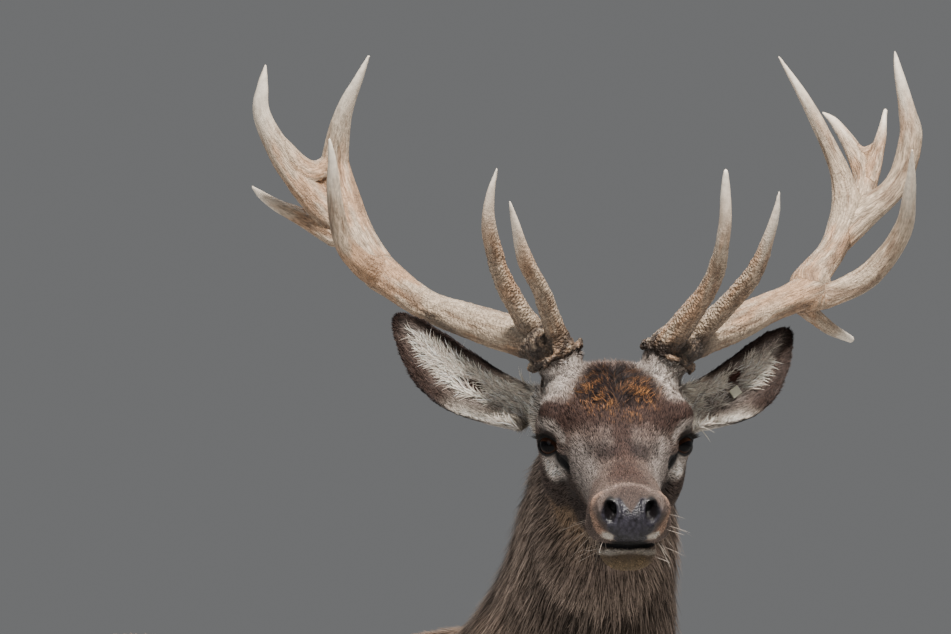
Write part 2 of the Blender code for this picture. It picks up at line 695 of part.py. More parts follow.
# In the head's axes, millimetres: each point is (left, forward, up, radius).
ANTLERS = {
    "right": {
        "beam": [
            (-70, -83, 83, 25), (-88, -102, 86, 22), (-145, -167, 84, 20.5),
            (-198, -234, 83, 17), (-246, -301, 99, 21),
        ],
        "trez": [
            (-244, -297, 97, 19), (-270, -278, 118, 14.5), (-291, -266, 149, 11.2),
            (-302, -251, 202, 9.2), (-306, -238, 250, 6), (-310, -231, 280, 2.4),
        ],
        "inner": [
            (-246, -301, 99, 20), (-270, -351, 130, 19), (-290, -388, 183, 16.5),
            (-293, -395, 212, 15), (-285, -383, 265, 10.2), (-270, -368, 309, 6),
            (-260, -360, 337, 2.4),
        ],
        "outer": [
            (-266, -346, 124, 18), (-309, -383, 153, 19), (-351, -401, 201, 15),
            (-378, -397, 255, 10.8), (-378, -393, 290, 7.4), (-375, -391, 316, 2.4),
        ],
        "rear": [
            (-295, -363, 123, 14), (-330, -406, 130, 10), (-357, -434, 135, 7.6),
            (-375, -448, 143, 5.6), (-385, -456, 150, 2.5),
        ],
        "brow": [
            (-58, -63, 92, 15), (-67, -58, 116, 11.8), (-84, -34, 168, 9.8),
            (-104, -14, 209, 9.0), (-117, 4, 256, 5.8), (-125, 14, 287, 2.3),
        ],
        "bez": [
            (-81, -101, 91, 15), (-101, -86, 123, 12.2), (-129, -68, 181, 10),
            (-143, -47, 239, 8.4), (-143, -37, 277, 5.8), (-137, -30, 310, 2.3),
        ],
    },
    "left": {
        "beam": [
            (67, -81, 82, 25), (87, -97, 86, 22), (137, -147, 87, 20.5),
            (194, -206, 91, 17), (234, -241, 96, 20),
        ],
        "trez": [
            (231, -237, 91, 18), (261, -247, 90, 14.2), (308, -252, 114, 13.8),
            (338, -237, 167, 10.8), (343, -213, 225, 7.8), (341, -190, 280, 2.4),
        ],
        "inner": [
            (234, -247, 104, 19), (267, -297, 126, 15.8), (286, -336, 160, 17.5),
            (280, -355, 199, 12), (262, -359, 240, 9), (235, -354, 291, 7),
            (205, -352, 339, 2.2),
        ],
        "outer": [
            (278, -315, 136, 17), (306, -335, 157, 17), (344, -345, 189, 13.6),
            (359, -351, 240, 13.2), (354, -352, 274, 10.4), (342, -350, 321, 6.2),
            (337, -352, 345, 2.4),
        ],
        "rear_in": [
            (302, -342, 160, 13), (312, -378, 186, 13.5), (299, -408, 212, 9.4),
            (282, -436, 233, 6.4), (269, -451, 241, 2.6),
        ],
        "rear_out": [
            (309, -364, 175, 13), (323, -389, 203, 9.6), (332, -406, 230, 6.2),
            (337, -421, 253, 3.4),
        ],
        "snag": [
            (226, -235, 85, 13), (249, -261, 57, 8.8), (271, -282, 35, 7.4),
            (293, -304, 17, 5.2),
        ],
        "brow": [
            (58, -64, 95, 17), (75, -49, 122, 14), (103, -14, 186, 9.8),
            (112, 16, 255, 7.8), (111, 24, 299, 6.6), (110, 29, 327, 3.6),
        ],
        "bez": [
            (92, -95, 92, 15), (118, -75, 127, 12), (151, -43, 183, 9.9),
            (165, -22, 235, 6.9), (171, -13, 266, 5), (173, -7, 291, 2.2),
        ],
    },
}
# (centre), (radii), (tilt)
BURR_MASSES = [
    ((62, -77, 77), (34, 34, 10), (18, 30, 0)),  # the burr
    ((68, -80, 93), (23, 27, 20), (0, 0, 0)),  # the base of the brow tine
]
# Where each tine is parted from what it grows from, counted in points along it.
FORKS = {
    "brow": 1,
    "bez": 1.3,
    "trez": 1.5,
    "upper": 0.6,
    "inner": 3,
    "outer": 2,
    "rear": 1.4,
    "rear_in": 2,
    "rear_out": 1.4,
    "snag": 1,
}
NODE_NAMES = {
    "beam": "lower_beam",
    "upper": "upper_beam",
    "inner": "crown_inner",
    "outer": "crown_outer",
    "rear": "crown_rear",
    "rear_in": "crown_rear_inner",
    "rear_out": "crown_rear_outer",
}


def add_tube(bm, points, frame):
    """A round, tapering tube through points of (x, y, z, radius)."""
    rows = [(x, y, z, radius, radius, radius) for x, y, z, radius in points]
    across = (Vector(rows[-1][:3]) - Vector(rows[0][:3])).orthogonal()
    add_loft(bm, rows, across=across, sides=14, steps=5, squareness=2, frame=frame)


def point_along(points, count):
    """The world position, direction and radius so many points along a centre line."""
    steps = 20
    line = flowing(points, steps)
    i = min(round(count * steps), len(line) - 2)
    here, beyond = (HEAD @ (Vector(row[:3]) * MM) for row in line[i : i + 2])
    return here, (beyond - here).normalized(), line[i][3] * MM


def make_antler(parts, cutters, material, side_name, head):
    lines = dict(ANTLERS[side_name])
    bm = bmesh.new()
    for points in lines.values():
        add_tube(bm, points, HEAD)
    side = SIDES[side_name]
    for centre, radii, (about_x, about_y, _) in BURR_MASSES:
        add_mass(bm, (centre[0] * side, *centre[1:]), radii, (about_x, about_y * side, 0), HEAD)
    antler = object_from(f"antler_{side_name}", bm, parts, material)
    sculpt(antler, 0.0026, 4, TRIANGLES["antler"])
    cut_with(antler, grown_copy(head, GAP * 2.5, cutters))
    largest_piece_only(antler)

    lines["upper"] = lines["inner"]
    labels = {}
    for tine, points in lines.items():
        name = f"antler_{side_name}_{NODE_NAMES.get(tine, tine)}"
        if tine in FORKS:
            here, heading, radius = point_along(points, FORKS[tine])
            cut_with(antler, square_sheet(f"cut_{name}", here, heading, radius * 3.8, cutters))
        if tine == "upper":
            labels[name] = point_along(points, 1.6)[0]
        elif tine == "beam":
            labels[name] = point_along(points, 2)[0]
        else:
            labels[name] = point_along(points, (FORKS[tine] + len(points) - 1) / 2)[0]
    return split_pieces(antler, labels, parts)


def settle(parts):
    """Moves everything so the origin is on the floor under the middle of the whole."""
    corners = [v.co for obj in parts.objects for v in obj.data.vertices]
    low = [min(c[i] for c in corners) for i in range(3)]
    high = [max(c[i] for c in corners) for i in range(3)]
    move = Vector((-(low[0] + high[0]) / 2, -(low[1] + high[1]) / 2, -low[2]))
    for obj in parts.objects:
        obj.data.transform(Matrix.Translation(move))
        for face in obj.data.polygons:
            face.use_smooth = True


def main():
    clear_scene()
    parts = collection_named("red_deer_stag")
    cutters = collection_named("cutters")
    materials = {name: material_named(name) for name in COLOURS}
    body = make_body(parts, cutters, materials["coat"])
    make_tail(parts, cutters, materials["coat"], body["trunk"])
    for end in ("fore", "hind"):
        for side_name in SIDES:
            leg = body[f"leg_{end}_{side_name}"]
            make_hooves(parts, cutters, materials["hoof"], leg, end, side_name)
    head = make_head(parts, cutters, materials["coat"])
    make_eyes(parts, cutters, materials["eye"], head)
    for side_name in SIDES:
        ear = make_ear(parts, cutters, materials["coat"], head, side_name)
        if side_name == "left":
            make_ear_tag(parts, cutters, materials["tag"], ear)
        make_antler(parts, cutters, materials["antler"], side_name, head)
    settle(parts)


main()
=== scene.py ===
import math

import bmesh
import bpy
import numpy as np
from mathutils import Matrix, Vector
from mathutils.bvhtree import BVHTree


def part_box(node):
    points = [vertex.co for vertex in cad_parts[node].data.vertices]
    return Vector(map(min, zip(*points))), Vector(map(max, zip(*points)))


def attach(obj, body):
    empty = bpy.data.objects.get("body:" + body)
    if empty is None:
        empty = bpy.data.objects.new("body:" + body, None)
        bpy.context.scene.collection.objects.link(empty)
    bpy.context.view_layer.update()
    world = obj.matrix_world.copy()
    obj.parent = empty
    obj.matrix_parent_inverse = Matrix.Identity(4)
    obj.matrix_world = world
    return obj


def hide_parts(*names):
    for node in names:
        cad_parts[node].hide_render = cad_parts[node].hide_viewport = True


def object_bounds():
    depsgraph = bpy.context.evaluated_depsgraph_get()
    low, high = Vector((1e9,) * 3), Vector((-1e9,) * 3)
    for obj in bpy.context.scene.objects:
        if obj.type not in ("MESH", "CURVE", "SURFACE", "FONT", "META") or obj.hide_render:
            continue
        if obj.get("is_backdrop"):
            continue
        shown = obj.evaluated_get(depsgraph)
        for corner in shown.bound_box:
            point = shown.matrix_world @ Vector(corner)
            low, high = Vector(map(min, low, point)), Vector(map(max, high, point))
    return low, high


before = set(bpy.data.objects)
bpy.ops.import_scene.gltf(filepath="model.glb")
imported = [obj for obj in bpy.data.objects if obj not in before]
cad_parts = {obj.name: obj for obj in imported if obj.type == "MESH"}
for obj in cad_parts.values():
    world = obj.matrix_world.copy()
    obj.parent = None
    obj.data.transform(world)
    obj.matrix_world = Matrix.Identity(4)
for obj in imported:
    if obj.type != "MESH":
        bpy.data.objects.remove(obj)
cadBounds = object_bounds()
print("frame loaded")

mm = 0.001
sides = {"left": 1, "right": -1}
fleshNodes = ["head", "neck", "trunk", "tail", "ear_left", "ear_right"]
fleshNodes += [f"leg_{end}_{side}" for end in ("fore", "hind") for side in sides]


# small helpers for arrays of points

def lengthOf(v):
    return np.linalg.norm(v, axis=-1)


def unit(v):
    return v / np.maximum(lengthOf(v)[..., None], 1e-9)


def mix(a, b, amount):  # a where the amount is 0, b where it is 1
    return a + (b - a) * amount


def ramp(x, low, high):  # 0 at low, 1 at high, smooth between
    t = np.clip((x - low) / (high - low), 0, 1)
    return t * t * (3 - 2 * t)


def share(distance, softness):  # 1 within a distance of 1, 0 beyond it
    return 1 - ramp(distance, 1 - softness, 1 + softness)


def drift(points, size, seed):  # smooth random values, -1 to 1, that change over this size
    table = np.random.default_rng(seed).uniform(-1, 1, (32, 32, 32))
    scaled = points / size + 1000
    cell = np.floor(scaled).astype(int)
    part = scaled - cell
    part = part * part * (3 - 2 * part)
    total = 0
    for corner in np.ndindex(2, 2, 2):
        i, j, k = ((cell + corner) % 32).T
        total = total + np.prod(np.where(corner, part, 1 - part), axis=1) * table[i, j, k]
    return total


def relax(values, edges, strength, passes):  # evens values out over the mesh's edges
    count = np.maximum(np.bincount(edges.ravel(), minlength=len(values)), 1)[:, None]
    a, b = edges.T
    flat = values.reshape(len(values), -1)
    size = len(flat)
    strength = np.broadcast_to(strength, size)[:, None]
    for _ in range(passes):
        total = [np.bincount(a, v[b], size) + np.bincount(b, v[a], size) for v in flat.T]
        flat = flat + (np.column_stack(total) / count - flat) * strength
    return flat.reshape(values.shape)


def even(points, edges, strength, passes):  # takes out small unevenness without shrinking the form
    for _ in range(passes):
        points = relax(points, edges, strength, 1)
        points = relax(points, edges, strength * -1.04, 1)
    return points


# the head's own axes: left, forward to the nose and up, in millimetres from between the eyes

headPose = {"turn": 31, "pitch": 18, "eyeSetback": 4, "noseAside": -0.0155}


def findHead():
    left, right = (sum(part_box(f"eye_{side}"), Vector()) / 2 for side in sides)
    turn, pitch = math.radians(headPose["turn"]), math.radians(headPose["pitch"])
    level = Vector((-math.sin(turn), -math.cos(turn), 0))
    forward = level * math.cos(pitch) - Vector((0, 0, math.sin(pitch)))
    up = level * math.sin(pitch) + Vector((0, 0, math.cos(pitch)))
    middle = (left + right) / 2 + forward * headPose["eyeSetback"] * mm
    return np.array(middle), np.array((up.cross(forward), forward, up))


headOrigin, headAxes = findHead()
downNeck = np.array((0, -0.83, -0.56))  # from the face along the neck, in the head's axes
throatWay = np.array((0, 0.83, -0.56))  # the way the throat faces


def toHead(points):
    h = (points - headOrigin) @ headAxes.T / mm
    h[..., 0] -= headPose["noseAside"] * np.maximum(h[..., 1], 0)
    return h


def fromHead(points):
    h = np.array(points, float)
    h[..., 0] += headPose["noseAside"] * np.maximum(h[..., 1], 0)
    return headOrigin + h * mm @ headAxes


def onSide(place, way):  # a place or a direction on the left of the head (1) or its right (-1)
    return np.array(place) * (way, 1, 1)


def foldOver(h):  # the right of the head laid over its left
    return np.column_stack([np.abs(h[:, 0]), h[:, 1:]])


# making meshes

def addObject(name, data):
    item = bpy.data.objects.new(name, data)
    bpy.context.scene.collection.objects.link(item)
    return item


def newPiece(name, bm):
    mesh = bpy.data.meshes.new(name)
    bm.to_mesh(mesh)
    bm.free()
    return addObject(name, mesh)


def openMesh(mesh):
    bm = bmesh.new()
    bm.from_mesh(mesh)
    return bm


def addPart(bm, part):
    mesh = bpy.data.meshes.new("part")
    part.to_mesh(mesh)
    part.free()
    bm.from_mesh(mesh)
    bpy.data.meshes.remove(mesh)


def applyModifiers(piece):
    graph = bpy.context.evaluated_depsgraph_get()
    mesh = bpy.data.meshes.new_from_object(piece.evaluated_get(graph))
    piece.modifiers.clear()
    piece.data = mesh


def fuse(piece, voxel, smoothing):  # turns overlapping closed shapes into one surface
    remesh = piece.modifiers.new("fuse", "REMESH")
    remesh.mode = "VOXEL"
    remesh.voxel_size = voxel
    smooth = piece.modifiers.new("smooth", "SMOOTH")
    smooth.factor = 0.5
    smooth.iterations = smoothing
    applyModifiers(piece)


def thinOut(piece, keep):  # keeps this share of the faces
    piece.modifiers.new("thin", "DECIMATE").ratio = keep
    applyModifiers(piece)


def flowing(rows, steps):  # the rows with a smooth curve through them
    rows = np.array(rows, float)
    ends = np.vstack([2 * rows[0] - rows[1], rows, 2 * rows[-1] - rows[-2]])
    found = []
    for a, b, c, d in zip(ends, ends[1:], ends[2:], ends[3:]):
        for t in np.arange(steps) / steps:
            bend = (c - a) * t + (2 * a - 5 * b + 4 * c - d) * t**2 + (3 * b - a - 3 * c + d) * t**3
            found.append(b + bend / 2)
    return np.array([*found, rows[-1]])


def addLoft(bm, rows, across=(1, 0, 0), around=40, steps=5, squareness=2.2):
    # a closed tube through rows of (x, y, z, half width, rise, drop)
    rows = flowing(rows, steps)
    turn = 2 * math.pi * np.arange(around) / around
    c, s = (np.sign(v) * np.abs(v) ** (2 / squareness) for v in (np.cos(turn), np.sin(turn)))
    rings = []
    for row, heading in zip(rows, unit(np.gradient(rows[:, :3], axis=0))):
        side = unit(np.array(across) - heading * np.dot(heading, across))
        up = np.cross(side, heading)
        height = np.where(s > 0, row[4], row[5]) * s
        ring = row[:3] + side * (row[3] * c)[:, None] + up * height[:, None]
        rings.append([bm.verts.new(point) for point in ring])
    for near, far in zip(rings, rings[1:]):
        for i in range(around):
            j = (i + 1) % around
            bm.faces.new((near[i], near[j], far[j], far[i]))
    bm.faces.new(rings[0])
    bm.faces.new(rings[-1])


def addMass(bm, centre, radii, tilt=(0, 0, 0)):  # an ellipsoid of flesh or bone
    place = Matrix.Translation(centre)
    for angle, axis in zip(tilt[::-1], "ZYX"):
        place = place @ Matrix.Rotation(math.radians(angle), 4, axis)
    bmesh.ops.create_icosphere(bm, subdivisions=4, radius=1, matrix=place @ Matrix.Diagonal((*radii, 1)))


def openNode(node):  # a frame node, its corners joined
    part = openMesh(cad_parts[node].data)
    bmesh.ops.remove_doubles(part, verts=part.verts, dist=0.00002)
    return part


def addNode(bm, node, grow=0.0006):  # a frame node, a little larger so that it meets its neighbours
    part = openNode(node)
    part.normal_update()
    for vert in part.verts:
        vert.co += vert.normal * grow
    addPart(bm, part)


def smoothShade(mesh):
    mesh.polygons.foreach_set("use_smooth", np.ones(len(mesh.polygons), bool))


def finishPiece(piece, material, slot, *nodes):  # its shading, its material, and its place in the frame
    if not piece.data.has_custom_normals:
        smoothShade(piece.data)
    piece.data.materials.append(material)
    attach(piece, "root")
    if nodes:
        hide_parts(*nodes)


# the head's flesh: (forward, level, half width, rise, drop) from the nose back

headForm = {
    "snout": [
        (254, -2, 18, 9, 11), (249, -3, 29, 19, 19), (238, -4, 39, 27, 26), (222, -6, 45, 33, 32),
        (202, -8, 46, 35, 36), (172, -12, 42, 41, 38), (132, -14, 41, 46, 40), (92, -10, 46, 50, 48),
        (55, -4, 56, 53, 58), (28, 4, 68, 54, 68), (5, 8, 82, 55, 76), (-18, 9, 87, 56, 80),
        (-48, 9, 83, 58, 78), (-85, 6, 68, 58, 72), (-125, 2, 57, 43, 62), (-158, -2, 38, 26, 44),
    ],
    "jaw": [
        (243, -43, 16, 8, 9), (232, -45, 27, 14, 18), (212, -46, 32, 16, 23), (185, -46, 31, 18, 23),
        (140, -48, 31, 20, 27), (90, -52, 37, 24, 34), (40, -58, 45, 28, 42), (-10, -62, 54, 32, 50),
        (-50, -64, 58, 34, 56), (-90, -58, 52, 34, 54),
    ],
    "pairs": [  # on each side: centre, radii, and for some the tilt about the second and third axis
        ((56, -18, 26), (30, 46, 26), -18, 18),  # brow
        ((66, -4, 0), (21.5, 21.5, 21.5)),  # eyelids
        ((66, -32, 4), (22, 38, 40)),  # temple
        ((50, -28, -34), (32, 58, 54)),  # cheek
        ((27, 228, 8), (19, 22, 19)),  # nostril wing
        ((25, 210, -18), (23, 32, 18)),  # upper lip
        ((58, -94, 4), (30, 28, 34)),  # ear root
        ((48, -70, 34), (30, 34, 32), 25, 0),  # pedicle root
    ],
    "ridges": [
        ((0, -66, 38), (56, 56, 32)),  # crown
        ((0, -126, -10), (48, 44, 36)),  # nape
        ((0, 236, -19), (27, 12, 12)),  # front of the upper lip
    ],
    "pedicle": [(42, -66, 38, 27), (51, -71, 56, 26), (61, -76, 75, 29)],
    "voxel": 2.4,
    "smoothing": 5,
}

earForm = {
    "right": ((-86, -98, 4), (-236, -190, 85), (-0.15, 0.94, 0.30)),  # root, tip, the way it opens
    "left": ((88, -98, 6), (217, -240, 50), (0.10, 0.94, 0.30)),
    "pit": {"right": (0.36, 0.08), "left": (0.50, 0.30)},  # share of the length, turn
    "sag": 19,  # of the middle below the line from root to tip
    "thickness": 5.2,
    # share of the length, half width between the edges, half angle of the cup
    "leaf": [
        (0.00, 25, 115), (0.10, 27, 110), (0.25, 30, 98), (0.45, 35, 80),
        (0.65, 34, 64), (0.82, 26, 50), (0.93, 16, 38), (1.00, 4, 25),
    ],
}


def earAxes(side):  # root, line to the tip, the way the cup faces, and up across it
    root, tip, opening = (np.array(v, float) for v in earForm[side])
    along = tip - root
    facing = unit(opening - along * opening.dot(along) / along.dot(along))
    return root, along, facing, np.cross(unit(along), facing) * sides[side]


def leafAt(along):  # half angle and radius of the cup at a share of the length
    width, angle = (np.interp(along, *np.array(earForm["leaf"]).T[[0, i]]) for i in (1, 2))
    angle = np.radians(angle)
    return angle, width / np.sin(np.minimum(angle, math.pi / 2))


def earPoint(side, along, turn):  # share of the length, turn from edge to edge as -1 to 1
    root, line, facing, upward = earAxes(side)
    angle, radius = leafAt(along)
    middle = root + line * along - upward * earForm["sag"] * math.sin(math.pi * along)
    depth = radius * (math.cos(turn * angle) - math.cos(angle))
    return middle + upward * radius * math.sin(turn * angle) - facing * depth


def earCoords(h, side):  # share of the length, turn from edge to edge, and height above the cup's floor
    root, line, facing, upward = earAxes(side)
    along = np.clip((h - root) @ line / (line @ line), 0, 1)
    angle, radius = leafAt(along)
    sag = earForm["sag"] * np.sin(math.pi * along)
    centre = root + along[:, None] * line - sag[:, None] * upward
    away = h - centre - (radius * np.cos(angle))[:, None] * facing
    turn = np.arctan2(away @ upward, -(away @ facing)) / angle
    return along, turn, radius - np.hypot(away @ upward, away @ facing)


def addEar(bm, side):
    leaf = bmesh.new()
    lines = []
    for along in np.linspace(0, 1, 40):
        lines.append([leaf.verts.new(earPoint(side, along, turn)) for turn in np.linspace(-1, 1, 31)])
    for near, far in zip(lines, lines[1:]):
        for i in range(len(near) - 1):
            leaf.faces.new((near[i], near[i + 1], far[i + 1], far[i]))
    leaf.normal_update()
    for vert in leaf.verts:
        vert.co -= vert.normal * earForm["thickness"] / 2
    bmesh.ops.solidify(leaf, geom=leaf.faces[:], thickness=-earForm["thickness"])
    addPart(bm, leaf)


def addHead(bm):
    for rows, squareness in ((headForm["snout"], 2.3), (headForm["jaw"], 2.2)):
        addLoft(bm, [(0, *row) for row in rows[::-1]], squareness=squareness)
    for side, way in sides.items():
        for centre, radii, *tilt in headForm["pairs"]:
            aboutY, aboutZ = tilt or (0, 0)
            addMass(bm, onSide(centre, way), radii, (0, aboutY * way, -aboutZ * way))
        addLoft(bm, [(x * way, y, z, r, r, r) for x, y, z, r in headForm["pedicle"]], squareness=2)
        addEar(bm, side)
    for centre, radii in headForm["ridges"]:
        addMass(bm, centre, radii)


# working the skin: arrays of points, normals and edges

def meshArrays(mesh):
    points = np.empty(len(mesh.vertices) * 3, np.float32)
    mesh.vertices.foreach_get("co", points)
    edges = np.empty(len(mesh.edges) * 2, np.int32)
    mesh.edges.foreach_get("vertices", edges)
    return points.reshape(-1, 3).astype(float), edges.reshape(-1, 2)


def setPoints(mesh, points):  # moves the mesh's points and gives back its normals
    mesh.vertices.foreach_set("co", points.astype(np.float32).ravel())
    mesh.update()
    normals = np.empty(len(mesh.vertices) * 3, np.float32)
    mesh.vertex_normals.foreach_get("vector", normals)
    return normals.reshape(-1, 3).astype(float)


# what each point of the skin belongs to, as shares that blend into their neighbours

regionNames = ["head", "ear", "neck", "trunk", "leg", "tail"]


def regionShares(points, edges):
    corners, faces, owners = [], [], []
    for node in fleshNodes:
        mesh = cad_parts[node].data
        first = len(corners)
        corners += [tuple(v.co) for v in mesh.vertices]
        faces += [[first + i for i in face.vertices] for face in mesh.polygons]
        owners += [regionNames.index(node.split("_")[0])] * len(mesh.polygons)
    tree = BVHTree.FromPolygons(corners, faces)
    nearest = [owners[tree.find_nearest(point)[2]] for point in points.tolist()]
    sharp = relax(np.eye(len(regionNames))[nearest], edges, 0.5, 6)
    soft = relax(sharp, edges, 0.5, 40)
    keep = sharp[:, :2].sum(1, keepdims=True)  # the head and ears are finer, so they blend in less
    return sharp * keep + soft * (1 - keep)


# one skin over the whole animal: the head is finer than the body and they join on the neck

skinForm = {
    "seam": (0, -130, -45),  # on the throat, in the head's axes
    "seamDrop": 75,  # below the throat
    "seamWidth": 9,
    "overlap": 60,  # of the neck into the finer head
    "skullCut": (0, -50, -60),  # the body's flesh starts behind this place in the jaw
    "bodyVoxel": 0.007,
    "bodySmoothing": 6,
    "bodyKeep": 0.55,
    "evenness": 70,  # passes that take the frame's facets off the neck and trunk
    "shoulders": ((0, -0.40, 1.08), (0.30, 0.16, 0.26)),  # where the neck runs into the body: middle, radii
    "shoulderPasses": 60,
}


def seamPlane(further=0):
    point = fromHead(skinForm["seam"] + downNeck * (skinForm["seamDrop"] + further))
    return Vector(point), Vector(unit(downNeck @ headAxes))


def trimAt(bm, point, facing, keepBelow, capped=False):
    everything = [*bm.verts, *bm.edges, *bm.faces]
    bmesh.ops.bisect_plane(
        bm, geom=everything, plane_co=point, plane_no=facing, clear_outer=not keepBelow, clear_inner=keepBelow
    )
    if capped:
        bmesh.ops.triangle_fill(bm, edges=[edge for edge in bm.edges if edge.is_boundary])


def makeBody():
    bm = bmesh.new()
    for node in fleshNodes:
        if not node.startswith("ear"):
            addNode(bm, node)
    bmesh.ops.recalc_face_normals(bm, faces=bm.faces)
    body = newPiece("body", bm)
    fuse(body, skinForm["bodyVoxel"], skinForm["bodySmoothing"])
    points, edges = meshArrays(body.data)
    head, _, neck, trunk, leg, tail = regionShares(points, edges).T
    strength = 0.5 * np.clip(head + neck + trunk + 0.2 * leg + 0.3 * tail, 0, 1)
    points = even(points, edges, strength, skinForm["evenness"])
    spot, size = skinForm["shoulders"]
    joint = np.maximum(4 * neck * trunk, 1 - ramp(lengthOf((points - spot) / size), 0.7, 1.1))
    points = relax(points, edges, 0.5 * np.clip(joint, 0, 1), skinForm["shoulderPasses"])
    setPoints(body.data, points)
    return body


def makeHead(body):
    bm = openMesh(body.data)
    point, facing = seamPlane(skinForm["overlap"])
    trimAt(bm, Vector(fromHead(skinForm["skullCut"])), facing, True, True)
    trimAt(bm, point, facing, False, True)
    for vert in bm.verts:
        vert.co = toHead(np.array(vert.co))
    addHead(bm)
    bmesh.ops.recalc_face_normals(bm, faces=bm.faces)
    head = newPiece("head", bm)
    fuse(head, headForm["voxel"], headForm["smoothing"])
    setPoints(head.data, fromHead(meshArrays(head.data)[0]))
    return head


def makeSkin():
    body = makeBody()
    head = makeHead(body)
    thinOut(body, skinForm["bodyKeep"])
    lower = openMesh(body.data)
    trimAt(lower, *seamPlane(skinForm["seamWidth"]), True)
    bm = openMesh(head.data)
    trimAt(bm, *seamPlane(), False)
    addPart(bm, lower)
    bmesh.ops.bridge_loops(bm, edges=[edge for edge in bm.edges if edge.is_boundary])
    bmesh.ops.recalc_face_normals(bm, faces=bm.faces)
    for piece in (body, head):
        bpy.data.objects.remove(piece)
    skin = newPiece("skin", bm)
    print("skin joined:", len(skin.data.polygons), "faces")
    return skin


def alongPath(points, path):  # distance from a line through the path's points
    path = flowing(path, 6)
    nearest = np.full(len(points), 1e9)
    for a, b in zip(path, path[1:]):
        part = np.clip((points - a) @ (b - a) / max((b - a) @ (b - a), 1e-9), 0, 1)
        nearest = np.minimum(nearest, lengthOf(points - a - part[:, None] * (b - a)))
    return nearest


coatDepth = {"muzzle": 0.8, "face": 2.2, "crown": 5, "ear": 1.0, "neck": 4, "trunk": 4, "leg": 1.2, "tail": 6}


def depthOfCoat(points, shares):  # how far the skin lies under the tips of the coat, in metres
    h = toHead(points)
    head, ear, neck, trunk, leg, tail = shares.T
    face = mix(coatDepth["face"], coatDepth["muzzle"], ramp(h[:, 1], 60, 190))
    face = mix(face, coatDepth["crown"], ramp(h[:, 2], 40, 62) * ramp(-h[:, 1], 10, 50))
    face *= 1 - 0.9 * np.exp(-((lengthOf(foldOver(h) - eyeForm["centre"]) / 26) ** 2))
    face = mix(face, coatDepth["neck"], ramp(h @ downNeck, 60, 215))
    low = ramp(points[:, 2], 0.10, 0.65)
    depth = head * face + ear * coatDepth["ear"] + neck * coatDepth["neck"] + trunk * coatDepth["trunk"]
    return (depth + leg * coatDepth["leg"] * (1 + low) + tail * coatDepth["tail"]) * mm


def underCoat(skin):  # smooths the skin and sinks it by the coat's depth
    points, edges = meshArrays(skin.data)
    shares = regionShares(points, edges)
    head, ear, neck, trunk, leg, tail = shares.T
    lips = ramp(toHead(points)[:, 1], 180, 215) * head
    strength = 0.5 * np.clip(head * (1 - 0.35 * lips) + neck + trunk + 0.15 * leg + 0.3 * tail, 0, 1)
    strength *= 1 - ear
    points = relax(points, edges, strength * head + 0.3 * ear, 5)
    points = relax(points, edges, strength * head, 16)
    points = even(points, edges, strength * (1 - head), 12)
    depth = relax(depthOfCoat(points, shares), edges, 0.5, 10)
    facing = setPoints(skin.data, points)
    broad = unit(relax(facing, edges, 0.5, 30))
    facing = unit(mix(facing, broad, (neck + trunk + tail)[:, None]))
    points -= facing * depth[:, None]
    points = even(points, edges, strength * 0.6, 6)
    setPoints(skin.data, points)
    print("skin smoothed and sunk under the coat")


# the fine parts of the face: lids, slits before the eyes, nostrils and mouth

eyeForm = {
    "centre": (66, -4, 0),
    "radius": 18.5,
    "facing": (0.67, 0.74, 0.04),
    "rim": 20.2,  # radius of the lids' edge
    "halfWidth": 55,  # degrees, corner to middle
    "upper": 31,
    "lower": 28,
    "corner": 1.6,  # lower is more pointed
    "tilt": 9,  # degrees, front corner down
    "bulge": 0.045,  # of the ball's front
    "reach": 34,  # of the lids from the ball's centre
    "lidThickness": 1.1,
    "upperCrease": (1.5, 1.55),  # depth, and how far out of the opening
    "lowerCrease": (0.9, 1.6),
    "tuckIn": [(0.25, 1.0), (-3, 1.06)],  # the lids' inner edge: beyond the ball, spread
}

faceForm = {
    "slit": [(62, 18, -1), (57, 36, -6), (51, 54, -12)],
    "slitSize": (3.0, 8.0),  # half width, depth
    "nostril": (22.5, 244, 12),
    "nostrilLong": (0.35, -0.12, 0.93),
    "nostrilIn": (-0.35, -0.93, -0.10),
    "nostrilSize": (13, 7.5, 14),  # half height, half width, depth
    "nostrilRim": 1.6,
    "mouth": [(176, -42), (200, -38), (222, -35), (240, -32), (252, -31)],  # forwards, up, from the corner
    "mouthSize": (2.0, 3.8),
    "groove": [(0, 258, -4), (0, 254, -20), (0, 250, -29)],  # down the middle of the upper lip
    "grooveSize": (1.6, 1.2),
}


def eyeAxes(way):
    facing = unit(onSide(eyeForm["facing"], way))
    inward = unit(np.cross(facing, (0, 0, 1)) * way)  # towards the front corner
    up = np.cross(inward, facing) * way
    tilt = math.radians(eyeForm["tilt"])
    flat, steep = math.cos(tilt), math.sin(tilt)
    return inward * flat - up * steep, up * flat + inward * steep, facing


def eyeCoords(h, way):
    # along and up on the ball in degrees, how far out of the opening, and distance from the ball's centre
    away = h - onSide(eyeForm["centre"], way)
    reach = lengthOf(away)
    inward, up, facing = (away @ axis for axis in eyeAxes(way))
    facing = np.maximum(facing, 0.3 * reach)
    along, height = np.degrees(np.arctan2(inward, facing)), np.degrees(np.arctan2(up, facing))
    tall = np.where(height > 0, eyeForm["upper"], eyeForm["lower"])
    power = eyeForm["corner"]
    out = (np.abs(along / eyeForm["halfWidth"]) ** power + np.abs(height / tall) ** power) ** (1 / power)
    return along, height, out, reach


def fromEye(way, along, height):  # the way out of the ball at these degrees
    inward, up, facing = eyeAxes(way)
    return unit(inward * math.tan(math.radians(along)) + up * math.tan(math.radians(height)) + facing)


